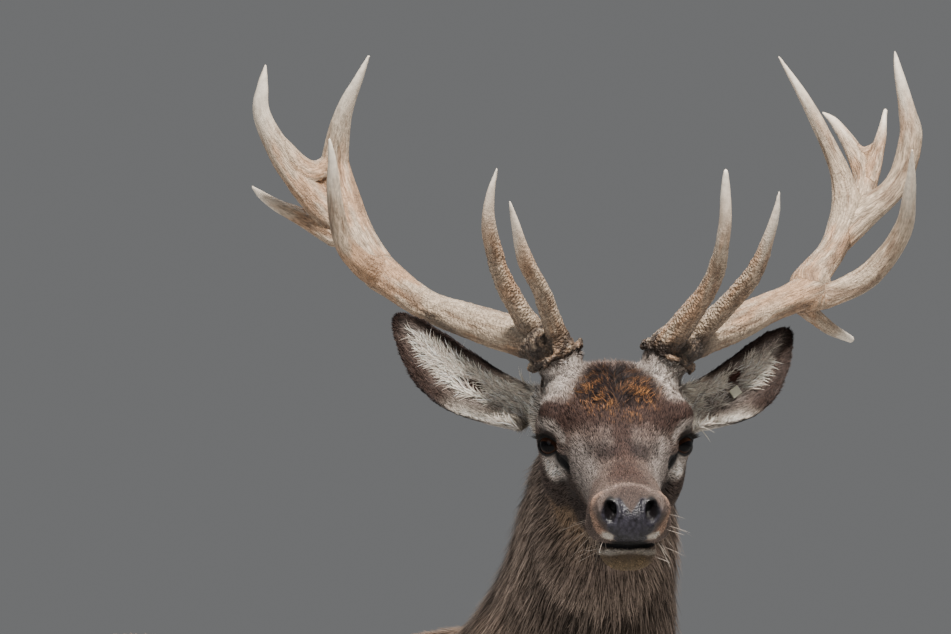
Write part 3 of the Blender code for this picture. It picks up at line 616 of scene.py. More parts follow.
def refine(skin, where):  # halves the edges of the faces that the test picks
    bm = openMesh(skin.data)
    bm.verts.ensure_lookup_table()
    picked = where(toHead(np.array([v.co for v in bm.verts])))
    edges = [edge for edge in bm.edges if picked[edge.verts[0].index] and picked[edge.verts[1].index]]
    bmesh.ops.subdivide_edges(bm, edges=edges, cuts=1, use_grid_fill=True)
    bmesh.ops.triangulate(bm, faces=[face for face in bm.faces if len(face.verts) > 4])
    bm.to_mesh(skin.data)
    bm.free()


def nearFeatures(h):
    folded = foldOver(h)
    eye = lengthOf(folded - eyeForm["centre"]) < 36
    slit = lengthOf(folded - faceForm["slit"][1]) < 26
    nose = (h[:, 1] > 168) & (h[:, 2] > -62)
    return eye | slit | nose


def mouthGap(h):  # distance above or below the line between the lips
    forwards, height = np.array(faceForm["mouth"]).T
    behind = np.maximum(forwards[0] - h[:, 1], 0)
    return np.hypot(h[:, 2] - np.interp(h[:, 1], forwards, height), behind)


def furrow(gap, size):  # its depth at this distance from its middle
    return (np.exp(-((gap / size[0]) ** 2)) * size[1])[:, None]


def nostrilMove(h, facing, way):  # a pit with a raised rim that curls outwards at the top like a comma
    away = h - onSide(faceForm["nostril"], way)
    long, inward = (unit(onSide(faceForm[name], way)) for name in ("nostrilLong", "nostrilIn"))
    wide = np.cross(long, inward)
    wide = wide * np.sign(wide[0] * way)
    high, across, depth = faceForm["nostrilSize"]
    curl = 0.018 * np.maximum(away @ long, 0) ** 2
    size = np.hypot((away @ long) / high, ((away @ wide) - curl) / across)
    pit = (1 - ramp(size, 0.25, 1.0)) * depth * (np.abs(away @ inward) < 26)
    rim = faceForm["nostrilRim"] * np.exp(-(((size - 1.3) / 0.28) ** 2)) * (np.abs(away @ inward) < 20)
    return inward * pit[:, None] + facing * rim[:, None]


def shapeFace(skin):
    points, edges = meshArrays(skin.data)
    h = toHead(points)
    points = relax(points, edges, 0.5 * ramp(h[:, 1], 175, 190) * (h[:, 2] > -70), 8)
    h = toHead(points)
    mine = np.flatnonzero(nearFeatures(h))
    facing = setPoints(skin.data, points)[mine] @ headAxes.T
    h = h[mine]
    move = np.zeros_like(h)
    width = faceForm["slitSize"][0]
    for way in sides.values():
        gap = alongPath(h, [onSide(place, way) for place in faceForm["slit"]])
        move -= facing * (furrow(gap, faceForm["slitSize"]) - furrow(gap - 2.3 * width, (width, 0.9)))
        move += nostrilMove(h, facing, way)
    move -= facing * furrow(mouthGap(h), faceForm["mouthSize"])
    move -= facing * furrow(alongPath(h, faceForm["groove"]), faceForm["grooveSize"])
    points[mine] = fromHead(h + move)
    setPoints(skin.data, points)


def lidCoords(bm, way):  # the eye's coordinates for every point, and which are in front of the ball
    bm.verts.ensure_lookup_table()
    bm.verts.index_update()
    h = toHead(np.array([v.co for v in bm.verts]))
    coords = eyeCoords(h, way)
    before = (h - onSide(eyeForm["centre"], way)) @ eyeAxes(way)[2] > 0
    return h, *coords, (coords[3] < eyeForm["reach"]) & before


def lidReach(height, out, reach):  # distance of a point of the lid from the ball's centre
    lid = eyeForm["rim"] + eyeForm["lidThickness"] * ramp(out, 1.0, 1.25)
    depth, place = eyeForm["upperCrease" if height > 0 else "lowerCrease"]
    return mix(lid, reach, ramp(out, 1.0, 2.4)) - depth * math.exp(-(((out - place) / 0.14) ** 2))


def openLids(skin):
    bm = openMesh(skin.data)
    for way in sides.values():
        centre = onSide(eyeForm["centre"], way)
        h, along, height, out, reach, close = lidCoords(bm, way)
        inside = close & (out < 1)
        gone = [face for face in bm.faces if all(inside[v.index] for v in face.verts)]
        bmesh.ops.delete(bm, geom=gone, context="FACES")
        bmesh.ops.delete(bm, geom=[v for v in bm.verts if not v.link_faces], context="VERTS")
        h, along, height, out, reach, close = lidCoords(bm, way)
        for i in np.flatnonzero(close & (out <= 2.6)).tolist():
            vert = bm.verts[i]
            if any(edge.is_boundary for edge in vert.link_edges):
                place = fromEye(way, along[i] / out[i], height[i] / out[i]) * eyeForm["rim"]
            else:
                place = (h[i] - centre) / reach[i] * lidReach(height[i], out[i], reach[i])
            vert.co = fromHead(centre + place)
        rim = [e for e in bm.edges if e.is_boundary and close[e.verts[0].index] and close[e.verts[1].index]]
        for beyond, wider in eyeForm["tuckIn"]:
            extruded = bmesh.ops.extrude_edge_only(bm, edges=rim)["geom"]
            for vert in [item for item in extruded if isinstance(item, bmesh.types.BMVert)]:
                a, b, _, _ = eyeCoords(toHead(np.array(vert.co))[None], way)
                outward = fromEye(way, a[0] * wider, b[0] * wider)
                vert.co = fromHead(centre + outward * (eyeForm["radius"] + beyond))
            rim = [item for item in extruded if isinstance(item, bmesh.types.BMEdge)]
    bmesh.ops.triangulate(bm, faces=[face for face in bm.faces if len(face.verts) > 4])
    bm.to_mesh(skin.data)
    bm.free()


skin = makeSkin()
underCoat(skin)
refine(skin, nearFeatures)
shapeFace(skin)
openLids(skin)
print("face shaped:", len(skin.data.polygons), "faces")


# the animal's markings, the same on the skin and on the coat

tones = {
    "face": (0.13, 0.095, 0.081),
    "dark": (0.040, 0.024, 0.020),
    "black": (0.006, 0.005, 0.0055),
    "pad": (0.017, 0.0155, 0.021),
    "pale": (0.60, 0.53, 0.48),
    "grey": (0.34, 0.295, 0.27),
    "pink": (0.50, 0.31, 0.22),
    "cream": (0.74, 0.67, 0.58),
    "bridge": (0.065, 0.040, 0.033),
    "snout": (0.075, 0.052, 0.045),
    "blush": (0.33, 0.245, 0.21),
    # yellow-brown chin hair, made darker as painted shade of the lower face
    "chin": (0.15, 0.105, 0.058),
    "orange": (0.20, 0.092, 0.034),
    "tuft": (0.012, 0.0098, 0.0108),
    # the cheeks' darker grey-brown, made darker still as painted shade of the lower face
    "gold": (0.22, 0.145, 0.083),
    "cheek": (0.045, 0.034, 0.030),
    "ear": (0.13, 0.105, 0.095),
    "neck": (0.24, 0.185, 0.15),
    # the neck's dark front: partly a darker mane, partly painted shadow of the head
    "throat": (0.055, 0.042, 0.035),
    "trunk": (0.225, 0.145, 0.095),
    "back": (0.09, 0.06, 0.045),
    "belly": (0.13, 0.105, 0.09),
    "leg": (0.20, 0.145, 0.11),
    "rump": (0.62, 0.47, 0.30),
    "tail": (0.36, 0.22, 0.12),
}

faceMarks = [  # on both sides: tone, strength, softness, radii or half width, centre or path
    # the cheeks: their own darker grey-brown, deepened by painted shade of the lower face
    ("cheek", 0.9, 0.5, (44, 90, 42), (52, 56, -54)),
    ("gold", 0.55, 0.5, (40, 70, 38), (42, -30, -104)),
    ("grey", 0.75, 0.5, (19, 60, 26), (42, 97, 4)),
    ("grey", 0.2, 0.6, (56, 20, 14), (0, 86, 38)),
    ("snout", 0.7, 0.6, (22, 18, 14), (28, 74, 38)),
    ("dark", 0.85, 0.5, (64, 40, 24), (0, 14, 58)),
    ("dark", 0.95, 0.5, 19, [(0, 54, 50), (40, 42, 46), (60, 26, 42), (80, -2, 36)]),
    ("dark", 0.95, 0.5, 12, [(0, 62, 47), (0, 90, 40), (0, 118, 33)]),
    ("bridge", 0.8, 0.5, 14, [(0, 120, 33), (0, 150, 30), (0, 170, 28)]),
    ("bridge", 0.85, 0.5, (22, 34, 16), (0, 180, 25)),
    ("tuft", 0.75, 0.6, (14, 21, 12), (20, 110, 28)),
    ("tuft", 0.6, 0.5, (9, 14, 9), (36, 92, 24)),
    ("pale", 0.85, 0.5, (15, 27, 13), (67, 20, -19)),
    ("pale", 0.5, 0.6, 5.5, [(60, 40, 18), (68, 26, 24), (78, 8, 25), (84, -14, 18)]),
    ("dark", 0.5, 0.5, (24, 26, 22), (60, 32, 46)),
    ("pale", 0.7, 0.5, (31, 46, 46), (59, -58, 54)),
    ("blush", 0.5, 0.6, 6, [(0, 202, 29), (16, 205, 29), (28, 213, 24), (37, 221, 12)]),
    ("pink", 0.8, 0.6, 5.5, [(34, 229, 21), (37, 236, 5), (36, 240, -7), (30, 244, -15), (25, 247, -18)]),
    ("snout", 0.95, 0.4, (19, 22, 13), (0, 232, 24)),
    ("cream", 0.9, 0.35, (7, 10, 5), (24, 247, -17)),
    # black beneath the nose pad: the dark lips together with painted shadow of the upper lip
    ("black", 0.9, 0.3, (24, 13, 6), (0, 249, -29)),
    # the chin: yellow-brown hair, made darker as painted shade of the lower face
    ("chin", 0.95, 0.4, (38, 50, 26), (0, 222, -60)),
    ("cream", 0.6, 0.7, 2.8, [(0, 243, -36.5), (12, 241, -37.5), (21, 234, -41), (30, 212, -48)]),
    ("gold", 0.5, 0.5, (34, 110, 22), (0, 110, -92)),
    ("cream", 0.25, 0.4, (26, 40, 20), (0, -20, -112)),
    ("tuft", 1.0, 0.3, (42, 50, 28), (0, -14, 60)),
    ("cream", 0.75, 0.5, (30, 42, 36), (104, -90, 4)),
]

tone = {name: np.array(colour) for name, colour in tones.items()}

nosePad = [((0, 253, -4), (28, 15, 14)), ((0, 248, 9), (35, 24, 19)), ((0, 252, -19), (20, 14, 8))]

flecksForm = {"centre": (0, 4, 54), "radii": (42, 50, 34)}  # the orange hair in the tuft

rumpForm = {"centre": (0, 0.80, 1.06), "radii": (0.115, 0.17, 0.19), "edge": (0.15, 0.21, 0.235)}


def headMark(h, size, place):  # distance from a mark, 1 at its edge
    if isinstance(place, list):
        return alongPath(h, place) / size
    return lengthOf((h - place) / size)


def padShare(h):  # the bare wet nose
    folded = foldOver(h)
    wet = [share(headMark(folded, radii, centre), 0.12) for centre, radii in nosePad]
    wedge = ramp(h[:, 2] - 11 - 1.05 * folded[:, 0], -1.5, 1.5)  # hair runs down between the nostrils
    return np.max(wet, axis=0) * (1 - wedge)


def darkLines(h):  # lids, slits, nostrils and the line of the mouth, with painted shadow beneath the front of the upper lip
    folded = foldOver(h)
    _, _, out, reach = eyeCoords(folded, 1)
    lid = (1 - ramp(out, 1.12, 1.34)) * (reach < 30)
    slit = 1 - ramp(alongPath(folded, [(66, 12, 1), *faceForm["slit"]]), 4.2, 6.4)
    wedge = share(headMark(folded, (12, 31, 11), (58.5, 31, -6.5)), 0.25)
    slit = np.maximum(slit, wedge * (out > 1))
    narrow = mix(0.25, 1, ramp(h[:, 1], 165, 246))  # the line thins towards the corners
    mouth = 1 - ramp(mouthGap(h) / narrow, 2.6, 4.6)
    # painted shadow of the upper lip, over the dark lips, in front of the mouth
    mouth = np.maximum(mouth, share(headMark(folded, (25, 17, 5.5), (0, 248, -28)), 0.2))
    nostril = share(headMark(folded, (8, 18, 13), (22.5, 238, 12)), 0.15)
    return np.max([lid, slit, mouth, nostril], axis=0)


def bodyTone(points, h, shares):
    head, ear, neck, trunk, leg, tail = shares.T[:, :, None]
    ragged = drift(points, 0.035, 11) * 0.5 + drift(points, 0.012, 12) * 0.3
    x, _, z = points.T
    onTrunk = mix(tone["belly"], tone["trunk"], ramp(z + ragged * 0.03, 0.86, 1.06)[:, None])
    spine = (1 - ramp(np.abs(x) + ragged * 0.012, 0.012, 0.05)) * ramp(z, 1.05, 1.15)
    onTrunk = mix(onTrunk, tone["back"], 0.8 * spine[:, None])
    for name, size, softness, amount in (("back", "edge", 0.15, 0.6), ("rump", "radii", 0.12, 1)):
        patch = share(lengthOf((points - rumpForm["centre"]) / rumpForm[size]) + ragged * 0.08, softness)
        onTrunk = mix(onTrunk, tone[name], amount * patch[:, None])
    # darker towards the throat: partly a darker mane, partly painted shadow of the head on the neck
    onNeck = mix(tone["neck"], tone["throat"], 0.75 * ramp(h @ throatWay + ragged * 20, -20, 90)[:, None])
    onLeg = tone["leg"] * (0.8 + 0.35 * ramp(z, 0.15, 0.5)[:, None])
    onLeg = mix(tone["belly"] * 1.5, onLeg, ramp(np.abs(x), 0.05, 0.10)[:, None])  # paler on the inside
    rise = ramp((points - skinForm["shoulders"][0]) @ (0, -0.5, 0.86) + ragged * 0.03, -0.06, 0.28)
    total = (neck + trunk) * mix(onTrunk, onNeck, rise[:, None]) + leg * onLeg
    return total + tail * tone["tail"] + head * tone["face"] + ear * earTone(h)


def pitOf(side, along, turn, size):  # distance from the dark hollow of the ear, 1 at its edge
    middle = earForm["pit"][side]
    return np.hypot((along - middle[0]) / size[0], (turn - middle[1]) / size[1])


def earTone(h):  # dark back and rim, pale and hairy within
    colour = np.tile(tone["ear"], (len(h), 1))
    for side, way in sides.items():
        mine = np.flatnonzero(h[:, 0] * way > 55)
        if not len(mine):
            continue
        along, turn, rise = (v[:, None] for v in earCoords(h[mine], side))
        tip = ramp(along, 0.12, 0.36)  # 0 at the root, 1 from a third of the way
        edge = np.maximum(ramp(np.abs(turn), 0.72, 0.95), ramp(along, 0.84, 0.97))
        upper = ramp(turn, 0.45, 0.85) * ramp(along, 0.35, 0.55)
        low = (1 - ramp(along, 0.3, 0.55)) * ramp(-turn, 0.2, 0.7)
        within = mix(mix(tone["cream"], tone["pink"], 0.4), tone["face"], tip)
        pale = share(np.hypot((along - 0.45) / 0.42, (turn - 0.18) / 0.42), 0.5)
        within = mix(within, tone["pale"], 0.8 * pale)
        within = mix(within, tone["cream"], 0.8 * low)
        margin = np.maximum(edge, ramp(-turn, 0.25, 0.7) * 0.85)
        within = mix(within, tone["dark"] * 0.6, np.maximum(margin * tip * (1 - low), upper))
        pit = share(pitOf(side, along, turn, (0.11, 0.24)) + 0.5 * drift(h[mine], 5, 62)[:, None], 0.5)
        within = mix(within, tone["bridge"] * (1.0, 0.75, 0.7), pit)
        back = mix(tone["pale"] * 0.8, tone["ear"], tip)
        back = mix(back, tone["black"] * 3, edge * tip)
        colour[mine] = mix(back, within, ramp(rise, -0.8, 0.8))
    return colour


def markings(points, shares):  # colour of the coat at each point
    h = toHead(points)
    folded = foldOver(h)
    head, ear = shares[:, :1], shares[:, 1:2]
    onHead = head + ear
    colour = bodyTone(points, h, shares)
    rough = drift(points, 0.014, 21) * 0.16 + drift(points, 0.005, 22) * 0.12
    below = ramp(h @ downNeck, 70, 130)[:, None]  # the marks of the face end at the throat
    for name, strength, softness, size, place in faceMarks:
        amount = strength * share(headMark(folded, size, place) + rough, softness)[:, None]
        colour = mix(colour, tone[name], amount * onHead * (1 - below))
    flecks = ramp(0.5 * drift(points, 0.009, 23) + drift(points, 0.0019, 24), 0.16, 0.46)
    flecks *= share(headMark(folded, flecksForm["radii"], flecksForm["centre"]) + rough, 0.4)
    flecks *= ramp(folded[:, 0], -14, 22)
    colour = mix(colour, tone["orange"], flecks[:, None] * onHead)
    colour = mix(colour, tone["neck"] * (1 + 0.3 * rough[:, None]), below * head)
    pad = tone["pad"] * (1 + 0.8 * drift(points, 0.0028, 25))[:, None]
    colour = mix(colour, pad, padShare(h)[:, None] * head)
    return np.clip(mix(colour, tone["black"], darkLines(h)[:, None] * head), 0.004, 0.95)


# materials: each function adds nodes to a material's tree and gives back an output

def newMaterial(name):
    material = bpy.data.materials.new(name)
    material.use_nodes = True
    return material, material.node_tree


def join(tree, socket, value):  # links an output, or sets a number or a colour
    if isinstance(value, bpy.types.NodeSocket):
        tree.links.new(value, socket)
    else:
        socket.default_value = value


def setInputs(tree, node, inputs):
    for name, value in inputs.items():
        join(tree, node.inputs[name.replace("_", " ")], value)


def addNodeOf(tree, kind, output, setting=None, **inputs):  # setting: (name, value)
    node = tree.nodes.new("ShaderNode" + kind)
    if setting:
        setattr(node, *setting)
    setInputs(tree, node, inputs)
    return node.outputs[output]


def setShader(tree, **inputs):
    setInputs(tree, tree.nodes["Principled BSDF"], inputs)


def placeOf(tree):
    return addNodeOf(tree, "TexCoord", "Object")


def noiseOf(tree, scale, detail):
    return addNodeOf(tree, "TexNoise", "Fac", Scale=scale, Detail=detail, Roughness=0.6, Vector=placeOf(tree))


def rangeOf(tree, value, start, end, low, high):  # start to end becomes low to high
    return addNodeOf(
        tree, "MapRange", "Result", Value=value, From_Min=start, From_Max=end, To_Min=low, To_Max=high
    )


def flecksOf(tree, scale, detail, low, high):  # noise stretched over a range
    return rangeOf(tree, noiseOf(tree, scale, detail), 0.3, 0.7, low, high)


def timesColour(tree, colour, value):
    scaled = addNodeOf(tree, "VectorMath", "Vector", ("operation", "SCALE"), Scale=value)
    join(tree, scaled.node.inputs[0], colour)
    return scaled


def attributeOf(tree, name, output):
    return addNodeOf(tree, "Attribute", output, ("attribute_name", name))


def bumpOf(tree, height, strength, distance, **before):
    return addNodeOf(tree, "Bump", "Normal", Height=height, Strength=strength, Distance=distance, **before)


def mathOf(tree, operation, a, b):
    found = addNodeOf(tree, "Math", "Value", ("operation", operation))
    join(tree, found.node.inputs[0], a)
    join(tree, found.node.inputs[1], b)
    return found


def rampOf(tree, value, stops):  # stops: (place, colour)
    found = addNodeOf(tree, "ValToRGB", "Color", Fac=value)
    elements = found.node.color_ramp.elements
    for (place, colour), element in zip((stops[0], stops[-1]), elements):
        element.position, element.color = place, (*colour, 1)
    for place, colour in stops[1:-1]:
        elements.new(place).color = (*colour, 1)
    return found


hairLook = {"gloss": 0.08, "fleck": (0.8, 1.2), "roughness": (0.48, 0.66)}


def makeCoatMaterial():
    material, tree = newMaterial("coat")
    tint = timesColour(tree, attributeOf(tree, "tint", "Color"), flecksOf(tree, 260, 2, *hairLook["fleck"]))
    rough = flecksOf(tree, 90, 1, *hairLook["roughness"])
    setShader(tree, Base_Color=tint, Roughness=rough, Specular_IOR_Level=hairLook["gloss"])
    return material


skinLook = {"gloss": 0.3, "hairBump": 0.35, "pebbles": 620, "wetRoughness": 0.25, "dryRoughness": 0.75}


def makeSkinMaterial():
    material, tree = newMaterial("skin")
    tint = timesColour(tree, attributeOf(tree, "tint", "Color"), flecksOf(tree, 420, 4, 0.7, 1.3))
    wet = attributeOf(tree, "wet", "Fac")
    rough = rangeOf(tree, wet, 0, 1, skinLook["dryRoughness"], skinLook["wetRoughness"])
    hair = bumpOf(tree, noiseOf(tree, 900, 3), skinLook["hairBump"], 0.0008)
    pebbles = addNodeOf(tree, "TexVoronoi", "Distance", Scale=skinLook["pebbles"], Vector=placeOf(tree))
    normal = bumpOf(tree, pebbles, 0.7, 0.0007, Normal=hair)
    setShader(tree, Base_Color=tint, Roughness=rough, Normal=normal, Specular_IOR_Level=skinLook["gloss"])
    return material


hornLook = {
    "pearlSize": 0.0027,
    "pearlHeight": 0.0016,
    "lineHeight": 0.0012,
    "gapShade": 0.5,
    "lineShade": 0.5,
    "fleck": (0.8, 1.18),
    "roughness": (0.40, 0.66),
    "gloss": 0.4,
}


def makeAntlerMaterial():
    material, tree = newMaterial("antler")
    size = {"Scale": 1 / hornLook["pearlSize"], "Randomness": 0.9, "Vector": placeOf(tree)}
    pearls = addNodeOf(tree, "TexVoronoi", "Distance", ("feature", "SMOOTH_F1"), **size)
    gap = rangeOf(tree, pearls, 0.25, 0.62, 0, 1)
    gap = mathOf(tree, "MULTIPLY", gap, attributeOf(tree, "pearly", "Fac"))
    lengthwise = attributeOf(tree, "lengthwise", "Vector")
    lines = addNodeOf(tree, "TexNoise", "Fac", Scale=0.62, Detail=5, Roughness=0.62, Vector=lengthwise)
    line = rangeOf(tree, lines, 0.56, 0.34, 0, 1)
    line = mathOf(tree, "MULTIPLY", line, attributeOf(tree, "furrowed", "Fac"))
    shade = flecksOf(tree, 150, 5, *hornLook["fleck"])
    for amount, darkest in ((gap, hornLook["gapShade"]), (line, hornLook["lineShade"])):
        shade = mathOf(tree, "MULTIPLY", shade, rangeOf(tree, amount, 0, 1, 1, darkest))
    tint = timesColour(tree, attributeOf(tree, "tint", "Color"), shade)
    rough = flecksOf(tree, 60, 3, *hornLook["roughness"])
    low = bumpOf(tree, mathOf(tree, "MULTIPLY", line, -1), 0.8, hornLook["lineHeight"])
    high = bumpOf(tree, mathOf(tree, "MULTIPLY", gap, -1), 0.9, hornLook["pearlHeight"], Normal=low)
    setShader(tree, Base_Color=tint, Roughness=rough, Normal=high, Specular_IOR_Level=hornLook["gloss"])
    return material


eyeLook = {
    "rings": [  # from the pupil to the edge
        (0.42, (0.003, 0.0025, 0.003)), (0.50, (0.030, 0.012, 0.006)),
        (0.80, (0.030, 0.012, 0.006)), (1.00, (0.012, 0.007, 0.005)),
    ],
    "roughness": 0.05,
    "gloss": 0.3,
    "ior": 1.25,
}


def makeEyeMaterial():
    material, tree = newMaterial("eye")
    rings = rampOf(tree, attributeOf(tree, "gaze", "Fac"), eyeLook["rings"])
    tint = timesColour(tree, rings, flecksOf(tree, 700, 4, 0.6, 1.4))
    setShader(tree, Base_Color=tint, Roughness=eyeLook["roughness"])
    setShader(tree, Specular_IOR_Level=eyeLook["gloss"], IOR=eyeLook["ior"])
    return material


hoofLook = {"tones": [(0, (0.018, 0.014, 0.012)), (1, (0.055, 0.043, 0.034))], "ringHeight": 0.0008}


def makeHoofMaterial():
    material, tree = newMaterial("hoof")
    size = {"Scale": 55, "Distortion": 2.5, "Detail": 3, "Vector": placeOf(tree)}
    rings = addNodeOf(tree, "TexWave", "Fac", ("bands_direction", "Z"), **size)
    tint = rampOf(tree, noiseOf(tree, 120, 4), hoofLook["tones"])
    normal = bumpOf(tree, rings, 0.5, hoofLook["ringHeight"])
    setShader(tree, Base_Color=tint, Roughness=flecksOf(tree, 200, 3, 0.35, 0.6), Normal=normal)
    return material


tagLook = {"tones": [(0, (0.62, 0.56, 0.40)), (1, (0.82, 0.78, 0.62))], "scuffHeight": 0.0004}


def makeTagMaterial():
    material, tree = newMaterial("tag")
    tint = rampOf(tree, noiseOf(tree, 160, 5), tagLook["tones"])
    normal = bumpOf(tree, noiseOf(tree, 700, 3), 0.15, tagLook["scuffHeight"])
    setShader(tree, Base_Color=tint, Roughness=flecksOf(tree, 300, 3, 0.32, 0.5), Normal=normal)
    setShader(tree, Subsurface_Weight=0.1)
    return material


coatMaterial = makeCoatMaterial()


def giveTint(mesh, values):
    tint = mesh.color_attributes.new("tint", "FLOAT_COLOR", "POINT")
    tint.data.foreach_set("color", np.column_stack([values, np.ones(len(values))]).astype(np.float32).ravel())


def giveValue(mesh, name, values):
    mesh.attributes.new(name, "FLOAT", "POINT").data.foreach_set("value", values.astype(np.float32))


def paintSkin(skin):
    mesh = skin.data
    points, edges = meshArrays(mesh)
    shares = regionShares(points, edges)
    normals = setPoints(mesh, points)
    bare = padShare(toHead(points)) * shares[:, 0]
    shade = mix(0.55, 1, bare)  # painted shade: darker where the hair covers the skin
    giveTint(mesh, markings(points, shares) * shade[:, None])
    giveValue(mesh, "wet", bare)
    bm = openMesh(mesh)
    bmesh.ops.triangulate(bm, faces=bm.faces)
    corners = np.array([[v.index for v in face.verts] for face in bm.faces])
    bm.free()
    return points, normals, shares, corners


skinPoints, skinNormals, skinShares, skinFaces = paintSkin(skin)
finishPiece(skin, makeSkinMaterial(), "coat", *fleshNodes)
print("skin painted")


# the coat: every tuft is a thin blade rooted in the skin

coatForm = {
    "headLengths": ((250, 3.0), (205, 4.0), (130, 5.5), (40, 7), (-30, 9), (-80, 13), (-130, 26)),
    "crown": 16,
    "pedicle": 10,
    "jaw": 15,
    "neck": 46,
    "mane": 58,
    "trunk": 34,
    "legs": ((0.05, 9), (0.35, 11), (0.65, 20), (0.9, 30)),
    "tail": 55,
    "earBack": 6,
    "earWithin": 19,
    "widths": ((3, 0.65), (8, 0.95), (20, 1.05), (45, 1.35), (60, 1.6)),
    "rootShade": 0.4,
    "tipShade": 1.35,
    "rootDepth": 0.0004,  # in the skin
    "patch": 0.003,  # size of a tuft on the unwrap
    "drops": ((-0.6, 78), (-0.35, 58), (0, 22), (0.45, 20), (0.68, 58), (0.85, 84)),  # hair along the trunk
}


def regionOf(h):  # crown, pedicle, jaw and throat as shares of the head
    folded = foldOver(h)
    crown = share(headMark(folded, (52, 50, 30), (0, -22, 60)), 0.25)
    pedicle = share(headMark(folded, (30, 40, 40), (56, -66, 58)), 0.25)
    jaw = ramp(-h[:, 2], 62, 100) * (1 - ramp(h[:, 1], 60, 190))
    return crown, pedicle, jaw, ramp(h @ downNeck, 55, 150)


def tuftLength(points, h, shares):
    head, ear, neck, trunk, leg, tail = shares.T
    face = np.interp(-h[:, 1], *np.array([(-f, size) for f, size in coatForm["headLengths"]]).T)
    for size, amount in zip(("crown", "pedicle", "jaw", "neck"), regionOf(h)):
        face = mix(face, coatForm[size], amount)
    _, _, out, reach = eyeCoords(foldOver(h), 1)
    face *= 1 - 0.6 * (1 - ramp(out, 1.3, 2.6)) * (reach < eyeForm["reach"])
    onNeck = mix(coatForm["neck"], coatForm["mane"], ramp(h @ throatWay, -20, 90))
    onLeg = np.interp(points[:, 2], *np.array(coatForm["legs"]).T)
    total = head * face + neck * onNeck + trunk * coatForm["trunk"] + tail * coatForm["tail"]
    return total + leg * onLeg + ear * coatForm["earBack"]


def lieOnFace(h):
    crown, pedicle, jaw, below = (v[:, None] for v in regionOf(h))
    outward = np.sign(h[:, :1]) * (1, 0, 0) + (0, 1, 1)  # turns a way on the left to the point's side
    face = (0, -1, 0.12) + ramp(-h[:, 2:], 5, 70) * outward * (0.3, 0, -0.55)
    face = mix(face, outward * (0.25, -0.1, 1), crown)
    face = mix(face, outward * (0.55, 0.1, 0.9), pedicle)
    face = mix(face, np.array((0, -0.75, -0.6)), jaw)
    face = mix(face, np.array((-0.08, -0.45, -0.88)), below)
    away = (foldOver(h) - eyeForm["centre"]) * outward
    near = np.exp(-((lengthOf(away)[:, None] / 30) ** 2))
    return (face + unit(away) * near * 1.6) @ headAxes


def lieOfCoat(points, h, normals, shares):  # the way the hair points, along the skin
    head, ear, neck, trunk, leg, tail = shares.T[:, :, None]
    drop = np.radians(np.interp(points[:, 1], *np.array(coatForm["drops"]).T))
    onTrunk = np.column_stack([0 * drop, np.cos(drop), -np.sin(drop)])
    lie = head * lieOnFace(h) + neck * (0.16, 0.52, -0.84) + trunk * onTrunk
    lie = lie + leg * (0, 0.12, -1) + tail * (0, 0.3, -1)
    for side, way in sides.items():
        mine = np.flatnonzero((h[:, 0] * way > 55) & (ear[:, 0] > 0.02))
        if len(mine):
            root, tip, opening = (np.array(v, float) for v in earForm[side])
            upward = np.cross(unit(tip - root), unit(opening)) * way
            turn = earCoords(h[mine], side)[1][:, None]
            fan = np.clip(turn, -1, 1) * upward * 0.9 * (1 - ramp(np.abs(turn), 0.5, 0.9))
            lie[mine] += ear[mine] * ((unit(tip - root) + fan) @ headAxes) * 1.5
    lie -= normals * np.sum(lie * normals, axis=1, keepdims=True)
    return unit(lie)


def pickRoots(weight, count, rng):  # even over the skin, by weight
    a, b, c = (skinPoints[skinFaces[:, i]] for i in range(3))
    total = np.cumsum(lengthOf(np.cross(b - a, c - a)) * weight[skinFaces].mean(1))
    at = (np.arange(count) + rng.random(count)) / count * total[-1]
    face = skinFaces[np.minimum(np.searchsorted(total, at), len(total) - 1)]
    u, v = rng.random((2, count))
    flip = u + v > 1
    u, v = np.where(flip, 1 - u, u), np.where(flip, 1 - v, v)
    parts = np.column_stack([1 - u - v, u, v])[:, :, None]
    onSkin = (skinPoints, skinNormals, skinShares)
    points, normals, shares = ((values[face] * parts).sum(1) for values in onSkin)
    return points, unit(normals), shares


def roundUnwrap(points, origin, axis):  # the skin's own shape unrolled about an axis
    axis = unit(np.array(axis, float))
    side = unit(np.cross(axis, (0.3, 0.2, 1)))
    other = np.cross(axis, side)
    away = points - origin
    turn = np.arctan2(away @ side, away @ other) / (2 * math.pi) + 0.5
    return np.column_stack([turn, away @ axis])


def fillSquare(flat):  # stretches an unwrap over the unit square
    low, high = flat.min(0), flat.max(0)
    return (flat - low) / np.maximum(high - low, 1e-9) * 0.984 + 0.008


# a blade's corners (side, share of the length, share of the width) and its triangles, by number of segments
blades = {
    1: ([(-1, 0, 1), (1, 0, 1), (0, 1, 0)], [(0, 1, 2)]),
    2: (
        [(-1, 0, 0.8), (1, 0, 0.8), (-1, 0.5, 0.9), (1, 0.5, 0.9), (0, 1, 0)],
        [(0, 1, 3), (0, 3, 2), (2, 3, 4)],
    ),
    3: (
        [(-1, 0, 0.7), (1, 0, 0.7), (-1, 0.35, 1), (1, 0.35, 1), (-1, 0.7, 0.7), (1, 0.7, 0.7), (0, 1, 0)],
        [(0, 1, 3), (0, 3, 2), (2, 3, 5), (2, 5, 4), (4, 5, 6)],
    ),
}


def meshOf(name, points, faces):  # faces: the points' numbers, three for each triangle
    count = len(faces) // 3
    mesh = bpy.data.meshes.new(name)
    mesh.vertices.add(len(points))
    mesh.vertices.foreach_set("co", points.astype(np.float32).ravel())
    mesh.loops.add(len(faces))
    mesh.loops.foreach_set("vertex_index", faces.astype(np.int32))
    mesh.polygons.add(count)
    mesh.polygons.foreach_set("loop_start", np.arange(0, len(faces), 3, dtype=np.int32))
    smoothShade(mesh)
    mesh.update(calc_edges=True)
    return mesh


